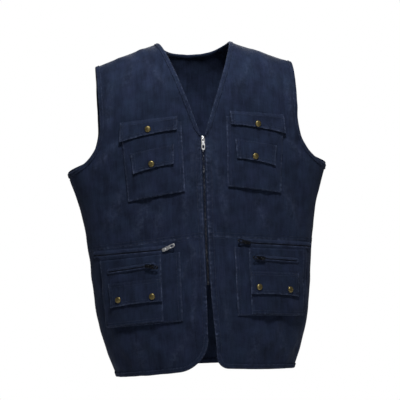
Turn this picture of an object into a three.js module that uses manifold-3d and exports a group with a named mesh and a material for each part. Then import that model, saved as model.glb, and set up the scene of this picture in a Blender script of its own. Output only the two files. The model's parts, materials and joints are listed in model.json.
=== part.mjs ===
// A sleeveless utility vest in navy denim: V neck, front zip, flapped chest and hip pockets with snap caps.
// Millimetres. The front faces -Y, +Z is up, and the origin lies between the neck points on the shoulders.
import * as THREE from 'three';
import { mergeVertices } from 'three/addons/utils/BufferGeometryUtils.js';
import Module from 'manifold-3d';

const wasm = await Module();
wasm.setup();

// Cloth, and the clearances between neighbouring pieces
const CLOTH = 1.8;
const POCKET_CLOTH = 1.5;
const BINDING_CLOTH = 1.1;
const SEAM_GAP = 0.4;
const LAYER_GAP = 0.7;
const BINDING_GAP = 0.95;

// Shoulders and neck
const NECK_HALF = 76;
const TIP_HALF = 214.5;
const SHOULDER_FALL = 0.354;
const SHOULDER_EASE = 40;
const SHOULDER_ROUND = 140;
const BACK_NECK_RUN = 97;
const V_BOTTOM = -203;

// Armhole: a nearly straight upper edge that turns out to the side seam in a superellipse
const ARM_HALF = 211;
const ARM_TURN = -165;
const UNDERARM = -268;
const ARM_POWER = 2.25;

// Waist seam and hem fall outwards from the centre front
const WAIST = -407;
const WAIST_FALL = 0.093;
const HEM = -671;
const HEM_FALL = 0.1;
const HEM_BACK = -696;
const HEM_CORNER_PART = 0.4;

// Front edges and zips
const ZIP_HALF = 4.5;
const ZIP_END = -505;
const CHAIN_HALF = 2.3;
const TAPE_OUTER = 12;
const TAPE_GAP = 0.7;
const TAPE_CLOTH = 1;
const CHAIN_THICK = 2;
const CHAIN_RISE = 0.7;
const ZIP_TOP_CLEAR = 2;
const WAIST_ZIP = { from: 74, to: 244, slider: 84, half: 4 };
const POCKET_ZIP = { from: 106, to: 202, slider: 116, half: 3.5, zFrom: -459, zTo: -470 };

const NECK_BINDING = 7;
const ARM_BINDING = 9;
const HEM_BINDING = 9;
const NECK_END_CLEAR = 6;

// Oval sections of the body: three arcs a quarter, a wide front arc of half angle `angle` and a side arc
const SECTION_COLUMNS = ['z', 'half', 'round', 'angle'];
const SECTIONS = [
  [-700, 187, 98, 45],
  [-630, 211, 90, 40],
  [-560, 226, 80, 36],
  [-420, 239, 66, 31],
  [-340, 252, 62, 30],
  [-262, 275, 60, 30],
  [-200, 280, 60, 30],
].map((row) => Object.fromEntries(SECTION_COLUMNS.map((key, i) => [key, row[i]])));

// Soft folds of the fronts: ridges of Gaussian section; `lean` is sideways drift for each millimetre upwards
const FOLD_COLUMNS = ['s', 'z', 'lean', 'width', 'length', 'height'];
const FOLDS = [
  [31, -362, 0.02, 11, 36, 3.5],
  [112, -100, 0.1, 15, 32, 3.5],
  [165, -105, 0.06, 14, 32, 3.5],
  [66, -105, 0.2, 14, 34, 3],
  [28, -480, -0.04, 10, 40, 3],
  [120, -628, 0.25, 17, 24, 4],
  [185, -632, 0.15, 17, 24, 4],
  [226, -330, 0.1, 20, 55, 4.5],
].map((row) => Object.fromEntries(FOLD_COLUMNS.map((key, i) => [key, row[i]])));

// What differs between the sides: the hem corner, the fronts' parting, how far the waist zip lies below its
// seam at the inner and the outer end, how far the pockets sit out and up, how many degrees the slider and
// the pull of each zip are turned up from it, and where on its flap each snap sits
const SIDES = [
  {
    name: 'left', sign: -1, corner: 60, part: 2.5, zipBelowIn: 16, zipBelowOut: 10,
    moves: { chest: [-4.5, -4], hip: [-2, -3], hipTop: [2.5, -3] },
    turns: { waist: [11, 20], pocket: [-10, -19] },
    snaps: { chest: [0.5, 0.4], small: [0.535, 0.28], hipInner: [0.18, 0.26], hipOuter: [0.82, 0.3] },
  },
  {
    name: 'right', sign: 1, corner: 22, part: 6.5, zipBelowIn: 9, zipBelowOut: 9,
    moves: { chest: [3, 3], hip: [0, 3], hipTop: [-5, 3] },
    turns: { waist: [3, 10], pocket: [0, 0] },
    snaps: { chest: [0.475, 0.3], small: [0.46, 0.28], hipInner: [0.153, 0.33], hipOuter: [0.79, 0.28] },
  },
];

const denim = { color: 0x21273e, roughness: 0.92, metalness: 0 };
const denimEdge = { color: 0x2b3350, roughness: 0.92, metalness: 0 };
const zipCloth = { color: 0x191d2c, roughness: 0.9, metalness: 0 };
const brass = { color: 0x8a6a35, roughness: 0.4, metalness: 0.9 };
const steel = { color: 0xb4b6ba, roughness: 0.3, metalness: 0.95 };
const darkMetal = { color: 0x55534e, roughness: 0.45, metalness: 0.9 };

const vest = new THREE.Group();
const { lerp, smoothstep } = THREE.MathUtils;

function add(name, geometry, look) {
  const mesh = new THREE.Mesh(geometry, new THREE.MeshStandardMaterial(look));
  mesh.name = name;
  vest.add(mesh);
  return mesh;
}

// Body surface

// Catmull-Rom through the section rows, held level beyond both ends
function section(z) {
  const last = SECTIONS.length - 1;
  const height = THREE.MathUtils.clamp(z, SECTIONS[0].z, SECTIONS[last].z);
  let i = 0;
  while (i < last - 1 && height > SECTIONS[i + 1].z) i += 1;
  const [low, high] = [SECTIONS[i], SECTIONS[i + 1]];
  const before = SECTIONS[i - 1] ?? low;
  const after = SECTIONS[i + 2] ?? high;
  const span = high.z - low.z;
  const t = (height - low.z) / span;
  const at = {};
  for (const key of ['half', 'round', 'angle']) {
    const slopeLow = (high[key] - before[key]) / (high.z - before.z);
    const slopeHigh = (after[key] - low[key]) / (after.z - low.z);
    at[key] = low[key] * (1 + 2 * t) * (1 - t) ** 2 + high[key] * t * t * (3 - 2 * t)
      + span * (slopeLow * t * (1 - t) ** 2 - slopeHigh * t * t * (1 - t));
  }
  const angle = THREE.MathUtils.degToRad(at.angle);
  const front = at.round + (at.half - at.round) / Math.sin(angle);
  const quarter = front * angle + at.round * (Math.PI / 2 - angle);
  return { half: at.half, round: at.round, angle, front, quarter };
}

// Height of the shoulder line above a place s millimetres round the body from the centre
function ridge(s) {
  return -SHOULDER_FALL * (Math.hypot(s, SHOULDER_EASE) - Math.hypot(NECK_HALF, SHOULDER_EASE));
}

// Fall below the shoulder line after a run of q over the rounded shoulder, and its inverse
function drop(q) {
  const quarterTurn = SHOULDER_ROUND * Math.PI / 2;
  if (q < quarterTurn) return SHOULDER_ROUND * (1 - Math.cos(q / SHOULDER_ROUND));
  return SHOULDER_ROUND + q - quarterTurn;
}

function run(s, z) {
  const d = Math.max(ridge(s) - z, 0);
  if (d < SHOULDER_ROUND) return SHOULDER_ROUND * Math.acos(1 - d / SHOULDER_ROUND);
  return SHOULDER_ROUND * (Math.PI / 2 - 1) + d;
}

// A point s round from the centre and q down from the shoulder line: on the front if q > 0, the back if q < 0
function bare(s, q) {
  const z = ridge(s) - drop(Math.abs(q));
  const { half, round, angle, front } = section(z);
  const t = Math.abs(s);
  const frontArc = front * angle;
  const centre = (front - round) * Math.cos(angle);
  let x = front * Math.sin(t / front);
  let depth = front * Math.cos(t / front) - centre;
  if (t > frontArc) {
    const turn = angle + (t - frontArc) / round;
    x = half - round + round * Math.sin(turn);
    depth = round * Math.cos(turn);
  }
  const roll = Math.sin(Math.min(Math.abs(q) / SHOULDER_ROUND, Math.PI / 2));
  return new THREE.Vector3(Math.sign(s) * x, -Math.sign(q) * depth * roll, z);
}

function normal(s, q) {
  const step = 0.6;
  const round = bare(s + step, q).sub(bare(s - step, q));
  const down = bare(s, q + step).sub(bare(s, q - step));
  return down.cross(round).normalize();
}

function folds(s, z) {
  let height = 0;
  for (const fold of FOLDS) {
    const across = (Math.abs(s) - fold.s - fold.lean * (z - fold.z)) / fold.width;
    const along = (z - fold.z) / fold.length;
    height += fold.height * Math.exp(-across * across - along * along);
  }
  return height;
}

// The same point moved out along the surface by `off`, with the fronts' folds
function onBody(s, q, off) {
  const point = bare(s, q);
  const lift = q > 0 ? off + folds(s, point.z) : off;
  return point.addScaledVector(normal(s, q), lift);
}

const onFront = (s, z, off) => onBody(s, run(s, z), off);

// Bends a box of columns by rows, one layer thick, by place(u, v, w); u, v and w run from 0 to 1
function bend(columns, rows, place) {
  const box = new THREE.BoxGeometry(1, 1, 1, columns, rows, 1);
  box.deleteAttribute('normal');
  box.deleteAttribute('uv');
  const geometry = mergeVertices(box);
  const at = geometry.attributes.position;
  for (let i = 0; i < at.count; i += 1) {
    const p = place(at.getX(i) + 0.5, at.getY(i) + 0.5, at.getZ(i) + 0.5);
    at.setXYZ(i, p.x, p.y, p.z);
  }
  return faceOut(geometry);
}

// Drops triangles that have no area and turns the rest to face outwards
function faceOut(geometry) {
  const at = geometry.attributes.position;
  const kept = [];
  for (let i = 0; i < geometry.index.count; i += 3) {
    const corners = [0, 1, 2].map((k) => geometry.index.getX(i + k));
    if (new Set(corners).size === 3) kept.push(...corners);
  }
  geometry.setIndex(kept);
  const index = geometry.index.array;
  const [a, b, c] = [new THREE.Vector3(), new THREE.Vector3(), new THREE.Vector3()];
  let volume = 0;
  for (let i = 0; i < index.length; i += 3) {
    a.fromBufferAttribute(at, index[i]);
    b.fromBufferAttribute(at, index[i + 1]);
    c.fromBufferAttribute(at, index[i + 2]);
    volume += a.dot(b.cross(c));
  }
  if (volume < 0) {
    for (let i = 0; i < index.length; i += 3) [index[i], index[i + 1]] = [index[i + 1], index[i]];
  }
  geometry.computeVertexNormals();
  return geometry;
}

// Edges of the panels, as places (s, q) for v from the bottom of an edge to its top

const UPPER_ROWS = 17;
const UPPER_BREAK = 5 / UPPER_ROWS;
const BACK_ROWS = 16;
const BACK_BREAK = 8 / BACK_ROWS;
const V_RUN = run(ZIP_HALF, V_BOTTOM);
const waistZ = (s) => WAIST - WAIST_FALL * s;
const hemZ = (s) => HEM - HEM_FALL * s;
const sideSeam = (z) => section(z).quarter - SEAM_GAP / 2;

// Neck edge for q from V_RUN at the zip to 0 on the shoulder
const neckS = (q) => NECK_HALF - (NECK_HALF - ZIP_HALF) * drop(q) / drop(V_RUN);

// Armhole for t from 0 at the side seam to 1 on the shoulder
function armhole(t) {
  const lower = 0.55;
  const crowding = 1.5;
  const side = sideSeam(UNDERARM);
  if (t < lower) {
    const turn = Math.PI / 2 * (1 - (t / lower) ** crowding);
    const s = side - (side - ARM_HALF) * Math.cos(turn) ** (2 / ARM_POWER);
    const z = ARM_TURN - (ARM_TURN - UNDERARM) * Math.sin(turn) ** (2 / ARM_POWER);
    return { s, q: run(s, z) };
  }
  const rest = (t - lower) / (1 - lower);
  return { s: lerp(ARM_HALF, TIP_HALF, rest), q: lerp(run(ARM_HALF, ARM_TURN), 0, rest) };
}

function upperInner(v) {
  if (v < UPPER_BREAK) {
    const z = lerp(waistZ(ZIP_HALF) + SEAM_GAP / 2, V_BOTTOM, v / UPPER_BREAK);
    return { s: ZIP_HALF, q: run(ZIP_HALF, z) };
  }
  const q = V_RUN * (1 - v) / (1 - UPPER_BREAK);
  return { s: neckS(q), q };
}

function upperOuter(v) {
  if (v >= UPPER_BREAK) return armhole((v - UPPER_BREAK) / (1 - UPPER_BREAK));
  const bottom = waistZ(section(WAIST).quarter) + SEAM_GAP / 2;
  const z = lerp(bottom, UNDERARM, v / UPPER_BREAK);
  return { s: sideSeam(z), q: run(sideSeam(z), z) };
}

// Columns crowd towards the side, where the body turns sharply, and rows towards the hem
const SIDE_CROWDING = 1.15;
const HEM_CROWDING = 1.6;
const BACK_CROWDING = 1.3;
const crowd = (u) => 1 - (1 - u) ** SIDE_CROWDING;

// How far a straight bottom row from `inner` to `outer` has to run on to reach the height bottom(s)
function bottomSag(inner, outer, share, bottom) {
  const s = lerp(inner.s, outer.s, share);
  return run(s, bottom(s)) - lerp(inner.q, outer.q, share);
}

function frontUpper(side) {
  return bend(18, UPPER_ROWS, (u, v, w) => {
    const inner = upperInner(v);
    const outer = upperOuter(v);
    const s = lerp(inner.s, outer.s, crowd(u));
    const sag = bottomSag(upperInner(0), upperOuter(0), crowd(u), (at) => waistZ(at) + SEAM_GAP / 2);
    const q = lerp(inner.q, outer.q, crowd(u)) + sag * Math.max(1 - v / UPPER_BREAK, 0) ** 2;
    return onBody(side.sign * s, Math.max(q, SEAM_GAP / 2), -CLOTH * (1 - w));
  });
}

// Free front edge below the zip, parting towards the hem
const frontEdge = (side, z) => ZIP_HALF + side.part * smoothstep(-z, -ZIP_END, -HEM);

// Hem corner and front edge of a lower panel for v from 0 at the hem to 1 at the waist seam
function lowerInner(side, v) {
  const start = frontEdge(side, HEM);
  if (v < HEM_CORNER_PART) {
    const turn = Math.PI / 2 * v / HEM_CORNER_PART;
    const s = start + side.corner * (1 - Math.sin(turn));
    return { s, z: hemZ(s) + side.corner * (1 - Math.cos(turn)) };
  }
  const top = waistZ(ZIP_HALF) - SEAM_GAP / 2;
  const z = lerp(hemZ(start) + side.corner, top, (v - HEM_CORNER_PART) / (1 - HEM_CORNER_PART));
  return { s: frontEdge(side, z), z };
}

function lowerOuter(v) {
  const low = hemZ(sideSeam(HEM));
  const high = waistZ(sideSeam(WAIST)) - SEAM_GAP / 2;
  const z = lerp(low, high, v ** HEM_CROWDING);
  return { s: sideSeam(z), z };
}

function frontLower(side) {
  return bend(16, 10, (u, v, w) => {
    const inner = lowerInner(side, v);
    const outer = lowerOuter(v);
    const s = lerp(inner.s, outer.s, crowd(u));
    const z = lerp(inner.z, outer.z, crowd(u));
    return onFront(side.sign * s, z, -CLOTH * (1 - w));
  });
}

// Middle and side of the back's rows, for v from the hem to the shoulders
function backCentre(v) {
  if (v > BACK_BREAK) return { s: 0, q: V_RUN * (1 - v) / (1 - BACK_BREAK) };
  return { s: 0, q: lerp(run(0, HEM_BACK), V_RUN, (v / BACK_BREAK) ** BACK_CROWDING) };
}

function backSide(v) {
  if (v > BACK_BREAK) return armhole((v - BACK_BREAK) / (1 - BACK_BREAK));
  const z = lerp(HEM_BACK, UNDERARM, (v / BACK_BREAK) ** BACK_CROWDING);
  return { s: sideSeam(z), q: run(sideSeam(z), z) };
}

// Back: rows from side to side that dip at the neck, the dip fading downwards
function backPanel() {
  const neckPart = 0.3;
  const neckShare = NECK_HALF / TIP_HALF;
  const dipFade = 2.5;
  return bend(20, BACK_ROWS, (u, v, w) => {
    const half = Math.abs(2 * u - 1);
    const share = half < neckPart
      ? half / neckPart * neckShare
      : lerp(neckShare, 1, (half - neckPart) / (1 - neckPart));
    const [middle, outer] = [backCentre(v), backSide(v)];
    const sag = bottomSag(backCentre(0), backSide(0), share, () => HEM_BACK);
    const dip = half < neckPart ? BACK_NECK_RUN * Math.sqrt(1 - (share / neckShare) ** 2) : 0;
    const q = lerp(middle.q, outer.q, share) + sag * Math.max(1 - v / BACK_BREAK, 0) ** 2
      + dip * Math.max((v - BACK_BREAK) / (1 - BACK_BREAK), 0) ** dipFade;
    return onBody(Math.sign(2 * u - 1) * outer.s * share, -Math.max(q, SEAM_GAP / 2), -CLOTH * (1 - w));
  });
}

// Binding: a strip `width` wide laid on the outside along an edge path(t) = (s, q); `hand` says which way
// is in
function binding(path, width, hand, rows) {
  const top = BINDING_GAP + BINDING_CLOTH;
  return bend(1, rows, (u, v, w) => {
    const step = 0.002;
    const here = path(v);
    const [back, ahead] = [path(Math.max(v - step, 0)), path(Math.min(v + step, 1))];
    const stretch = bare(here.s, here.q + 0.5).distanceTo(bare(here.s, here.q - 0.5));
    const [ds, dq] = [ahead.s - back.s, (ahead.q - back.q) * stretch];
    const reach = hand * width * u / Math.hypot(ds, dq);
    return onBody(here.s - dq * reach, here.q + ds * reach / stretch, lerp(BINDING_GAP, top, w));
  });
}

// Neck edge from the left front over both shoulders to the right front
function neckPath(t) {
  const frontPart = 0.36;
  const clear = V_RUN - NECK_END_CLEAR;
  if (t < frontPart) {
    const q = clear * (1 - t / frontPart);
    return { s: -neckS(q), q };
  }
  if (t > 1 - frontPart) {
    const q = clear * (1 - (1 - t) / frontPart);
    return { s: neckS(q), q };
  }
  const turn = Math.PI * (t - frontPart) / (1 - 2 * frontPart);
  return { s: -NECK_HALF * Math.cos(turn), q: -BACK_NECK_RUN * Math.sin(turn) };
}

// Armhole edge from the side seam up the front, over the shoulder and down the back to the side seam
function armholePath(side, t) {
  const edge = armhole(Math.min(t, 1 - t) * 2);
  return { s: side.sign * edge.s, q: t < 0.5 ? edge.q : -edge.q };
}

// Hem edge from the front edge round the corner to the side seam
function hemPath(side, t) {
  if (t < HEM_CORNER_PART) {
    const edge = lowerInner(side, HEM_CORNER_PART - t);
    return { s: side.sign * edge.s, q: run(edge.s, edge.z) };
  }
  const start = frontEdge(side, HEM) + side.corner;
  const s = lerp(start, sideSeam(hemZ(sideSeam(HEM))), (t - HEM_CORNER_PART) / (1 - HEM_CORNER_PART));
  return { s: side.sign * s, q: run(s, hemZ(s)) };
}

function backHemPath(t) {
  const s = sideSeam(HEM_BACK) * (2 * t - 1);
  return { s, q: -run(s, HEM_BACK) };
}

// Pockets and flaps

// Corner places of a patch; `in` is the edge nearer the centre front, `out` the edge nearer the side;
// patches of one group move together
const PATCH_COLUMNS = [
  'group', 'topIn', 'topOut', 'lowIn', 'lowOut', 'zTopIn', 'zTopOut', 'zLowIn', 'zLowOut',
];
const PATCHES = Object.fromEntries([
  ['chestPocket', 'chest', 47, 171, 44, 161, -168, -178, -310, -327],
  ['chestFlap', 'chest', 54, 172, 56, 174, -157, -166, -185, -206],
  ['smallFlap', 'chest', 63, 152, 65, 147, -214, -230, -254, -271],
  ['hipPocket', 'hip', 57, 230, 57, 226, -434, -448, -573, -586],
  ['hipTopPocket', 'hipTop', 91, 224, 91, 220, -438, -449.5, -572, -583.5],
  ['hipFlap', 'hipTop', 91, 204, 90, 202, -485, -495, -532, -544],
].map(([name, ...row]) => [name, Object.fromEntries(PATCH_COLUMNS.map((key, i) => [key, row[i]]))]));

// Place (s, z) on a patch for u from its inner to its outer edge and v from its bottom to its top
function onPatch(name, side, u, v) {
  const patch = PATCHES[name];
  const [moveS, moveZ] = side.moves[patch.group];
  const s = lerp(lerp(patch.lowIn, patch.lowOut, u), lerp(patch.topIn, patch.topOut, u), v) + moveS;
  const z = lerp(lerp(patch.zLowIn, patch.zLowOut, u), lerp(patch.zTopIn, patch.zTopOut, u), v) + moveZ;
  return { s, z };
}

// Inverse of onPatch, held inside the patch
function patchShare(name, side, s, z) {
  const patch = PATCHES[name];
  const [moveS, moveZ] = side.moves[patch.group];
  let [u, v] = [0.5, 0.5];
  for (let pass = 0; pass < 4; pass += 1) {
    const [inner, outer] = [lerp(patch.lowIn, patch.topIn, v), lerp(patch.lowOut, patch.topOut, v)];
    u = THREE.MathUtils.clamp((s - moveS - inner) / (outer - inner), 0, 1);
    const [low, high] = [lerp(patch.zLowIn, patch.zLowOut, u), lerp(patch.zTopIn, patch.zTopOut, u)];
    v = THREE.MathUtils.clamp((z - moveZ - low) / (high - low), 0, 1);
  }
  return { u, v };
}

// Clear depth of the hollow behind a pocket: fullest low in the middle, least at the mouth
const CHEST_DEPTH = 3.6;
const HIP_DEPTH = 3;
const HIP_TOP_DEPTH = 2.4;
const RIM_SHARE = 0.35;
const MOUTH_SHARE = 0.45;
const SWELL_POWER = 0.7;
const FLAP_STAND = 1.2;
const across = (u) => lerp(RIM_SHARE, 1, Math.sin(Math.PI * u) ** SWELL_POWER);
const swell = (u, v) => across(u) * lerp(1, MOUTH_SHARE, v * v);

// Outer height of each layer above the body at a place (s, z)
function layerTop(name, side, s, z) {
  const { u, v } = patchShare(name, side, s, z);
  if (name === 'chestPocket') return LAYER_GAP + CHEST_DEPTH * swell(u, v) + POCKET_CLOTH;
  if (name === 'hipPocket') return LAYER_GAP + HIP_DEPTH * swell(u, v) + POCKET_CLOTH;
  const below = layerTop('hipPocket', side, s, z);
  return below + LAYER_GAP + HIP_TOP_DEPTH * swell(u, v) + POCKET_CLOTH;
}

// Patch pocket: an open-topped tray turned to the body, its rim closed at the sides and the bottom
function pocket(side, name, columns, rows, base) {
  const rim = 0.02;
  const spread = (k, count) => lerp(rim, 1 - rim, (k * count - 1) / (count - 2));
  return bend(columns, rows, (u, v, w) => {
    const [onSide, onBottom] = [u < rim || u > 1 - rim, v < rim];
    const sideways = onSide ? Math.round(u) : spread(u, columns);
    const up = onBottom ? 0 : lerp(rim, 1, (v * rows - 1) / (rows - 1));
    const { s, z } = onPatch(name, side, sideways, up);
    const top = layerTop(name, side, s, z);
    const foot = onSide || onBottom ? base(s, z) + LAYER_GAP : top - POCKET_CLOTH;
    return onFront(side.sign * s, z, lerp(foot, top, w));
  });
}

// Flap: sewn down along its top edge, then standing clear of the pocket below it
function flap(side, name, below, columns, rows, sewnTo) {
  const rise = 0.3;
  return bend(columns, rows, (u, v, w) => {
    const { s, z } = onPatch(name, side, u, v);
    const clear = layerTop(below, side, s, z) + LAYER_GAP + FLAP_STAND * (1 - v);
    const foot = lerp(clear, sewnTo(s, z) + LAYER_GAP, smoothstep(v, 1 - rise, 1));
    return onFront(side.sign * s, z, foot + CLOTH * w);
  });
}

// Height of a flap's outer face at a place on it
function flapTop(name, below, side, u, v) {
  const { s, z } = onPatch(name, side, u, v);
  return { s, z, off: layerTop(below, side, s, z) + LAYER_GAP + FLAP_STAND * (1 - v) + CLOTH };
}

// Hardware

// Local frame on the front at (s, z), `off` above the body: x across, y along the tilt, z outwards
function seat(mesh, s, z, off, tilt) {
  const q = run(s, z);
  const out = normal(s, q);
  const point = onBody(s, q, off);
  const across = new THREE.Vector3(1, 0, 0).addScaledVector(out, -out.x).normalize();
  const up = out.clone().cross(across);
  mesh.matrix.makeBasis(across, up, out).setPosition(point);
  mesh.matrix.decompose(mesh.position, mesh.quaternion, mesh.scale);
  mesh.rotateZ(tilt);
  return mesh;
}

const SNAP_RADIUS = 6.4;
const SNAP_HEIGHT = 3;
const SNAP_GAP = 0.45;
const SNAP_SIDES = 10;

function snapCap() {
  const profile = [[0, 0], [1, 0], [1, 0.35], [0.86, 0.72], [0.5, 0.96], [0, 1]];
  const points = profile.map(([r, h]) => new THREE.Vector2(r * SNAP_RADIUS, h * SNAP_HEIGHT));
  const lathe = new THREE.LatheGeometry(points, SNAP_SIDES);
  lathe.rotateX(Math.PI / 2);
  lathe.deleteAttribute('normal');
  lathe.deleteAttribute('uv');
  return faceOut(mergeVertices(lathe));
}

const SLIDER_WIDTH = 7.6;
const SLIDER_LENGTH = 13;
const SLIDER_THICK = 3;
const SLIDER_CLEAR = 1;
const BAIL_WIDTH = 2.4;
const BAIL_LENGTH = 9;
const BAIL_HEIGHT = 3.8;
const BAIL_WIRE = 1.2;
const PULL_LENGTH = 22;
const PULL_WIDTH = 7.4;
const PULL_THICK = 1.2;
const PULL_EYE = 4.6;
const EYE_CLEAR = 1;
const HINGE_HEIGHT = SLIDER_THICK + (BAIL_HEIGHT - BAIL_WIRE) / 2;

function toManifold(geometry) {
  const bareGeometry = geometry.clone();
  bareGeometry.deleteAttribute('normal');
  bareGeometry.deleteAttribute('uv');
  const merged = mergeVertices(bareGeometry);
  return new wasm.Manifold(new wasm.Mesh({
    numProp: 3,
    vertProperties: new Float32Array(merged.attributes.position.array),
    triVerts: new Uint32Array(merged.index.array),
  }));
}

function fromManifold(solid) {
  const { vertProperties, triVerts } = solid.getMesh();
  const geometry = new THREE.BufferGeometry();
  geometry.setAttribute('position', new THREE.BufferAttribute(vertProperties, 3));
  geometry.setIndex(new THREE.BufferAttribute(triVerts, 1));
  geometry.computeVertexNormals();
  return geometry;
}

// Slider: a body that narrows towards its mouth, with an arched bail along it that the pull hangs on
function sliderBody() {
  const [half, end] = [SLIDER_WIDTH / 2, SLIDER_LENGTH / 2];
  const outline = new THREE.Shape();
  outline.moveTo(-half * 0.6, -end);
  outline.lineTo(half * 0.6, -end);
  outline.lineTo(half, end * 0.35);
  outline.lineTo(half * 0.75, end);
  outline.lineTo(-half * 0.75, end);
  outline.lineTo(-half, end * 0.35);
  outline.closePath();
  const body = new THREE.ExtrudeGeometry(outline, { depth: SLIDER_THICK, bevelEnabled: false });
  const sink = 0.8;
  const arch = new THREE.Shape();
  arch.moveTo(-BAIL_LENGTH / 2, -sink);
  arch.lineTo(BAIL_LENGTH / 2, -sink);
  arch.lineTo(BAIL_LENGTH / 2, BAIL_HEIGHT * 0.6);
  arch.lineTo(BAIL_LENGTH / 2 - BAIL_WIRE, BAIL_HEIGHT);
  arch.lineTo(-BAIL_LENGTH / 2 + BAIL_WIRE, BAIL_HEIGHT);
  arch.lineTo(-BAIL_LENGTH / 2, BAIL_HEIGHT * 0.6);
  arch.closePath();
  const inside = BAIL_LENGTH / 2 - BAIL_WIRE;
  const hole = new THREE.Path();
  hole.moveTo(-inside, 0);
  hole.lineTo(-inside, BAIL_HEIGHT - BAIL_WIRE);
  hole.lineTo(inside, BAIL_HEIGHT - BAIL_WIRE);
  hole.lineTo(inside, 0);
  hole.closePath();
  arch.holes.push(hole);
  const bail = new THREE.ExtrudeGeometry(arch, { depth: BAIL_WIDTH, bevelEnabled: false });
  bail.translate(0, 0, -BAIL_WIDTH / 2);
  bail.rotateX(Math.PI / 2);
  bail.rotateZ(Math.PI / 2);
  bail.translate(0, 0, SLIDER_THICK);
  return fromManifold(toManifold(body).add(toManifold(bail)));
}

// Pull: a flat tag whose eye bar passes under the bail; its own origin is the bar, the tag hangs along -y
function pullTag() {
  const half = PULL_WIDTH / 2;
  const top = PULL_THICK / 2;
  const tag = new THREE.Shape();
  tag.moveTo(-half, top);
  tag.lineTo(-half, -PULL_LENGTH + half);
  tag.absarc(0, -PULL_LENGTH + half, half, Math.PI, 2 * Math.PI, false);
  tag.lineTo(half, top);
  tag.closePath();
  const eye = new THREE.Path();
  const eyeHalf = PULL_EYE / 2;
  eye.moveTo(-eyeHalf, -top);
  eye.lineTo(eyeHalf, -top);
  eye.lineTo(eyeHalf, -BAIL_LENGTH / 2 - EYE_CLEAR);
  eye.lineTo(-eyeHalf, -BAIL_LENGTH / 2 - EYE_CLEAR);
  eye.closePath();
  tag.holes.push(eye);
  const grip = new THREE.Path();
  const [gripHalf, gripReach] = [half * 0.5, half * 0.95];
  grip.absellipse(0, -PULL_LENGTH + 2 * gripReach, gripHalf, gripReach, 0, 2 * Math.PI, true);
  tag.holes.push(grip);
  const plate = new THREE.ExtrudeGeometry(tag, { depth: PULL_THICK, bevelEnabled: false, curveSegments: 4 });
  plate.translate(0, 0, -PULL_THICK / 2);
  plate.deleteAttribute('normal');
  plate.deleteAttribute('uv');
  return faceOut(mergeVertices(plate));
}

// Slider and pull seated together, each turned from upright
function sliderAndPull(name, s, z, off, [sliderTilt, pullTilt], look) {
  seat(add(`${name}_slider`, sliderBody(), look), s, z, off, sliderTilt);
  seat(add(`${name}_pull`, pullTag(), look), s, z, off + HINGE_HEIGHT, pullTilt);
}

// Zip let into a pocket: one strip of tape with its closed chain raised along the middle
function zipStrip(side, zip, shift, zAt, off, columns) {
  return bend(columns, 3, (u, v, w) => {
    const s = lerp(zip.from, zip.to, u) + shift;
    const z = zAt(s) + zip.half * (2 * v - 1);
    const chain = Math.abs(2 * v - 1) < 0.5 ? CHAIN_RISE : 0;
    return onFront(side.sign * s, z, off(s, z) + LAYER_GAP + (TAPE_CLOTH + chain) * w);
  });
}

// Assembly

const ground = () => 0;

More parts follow.
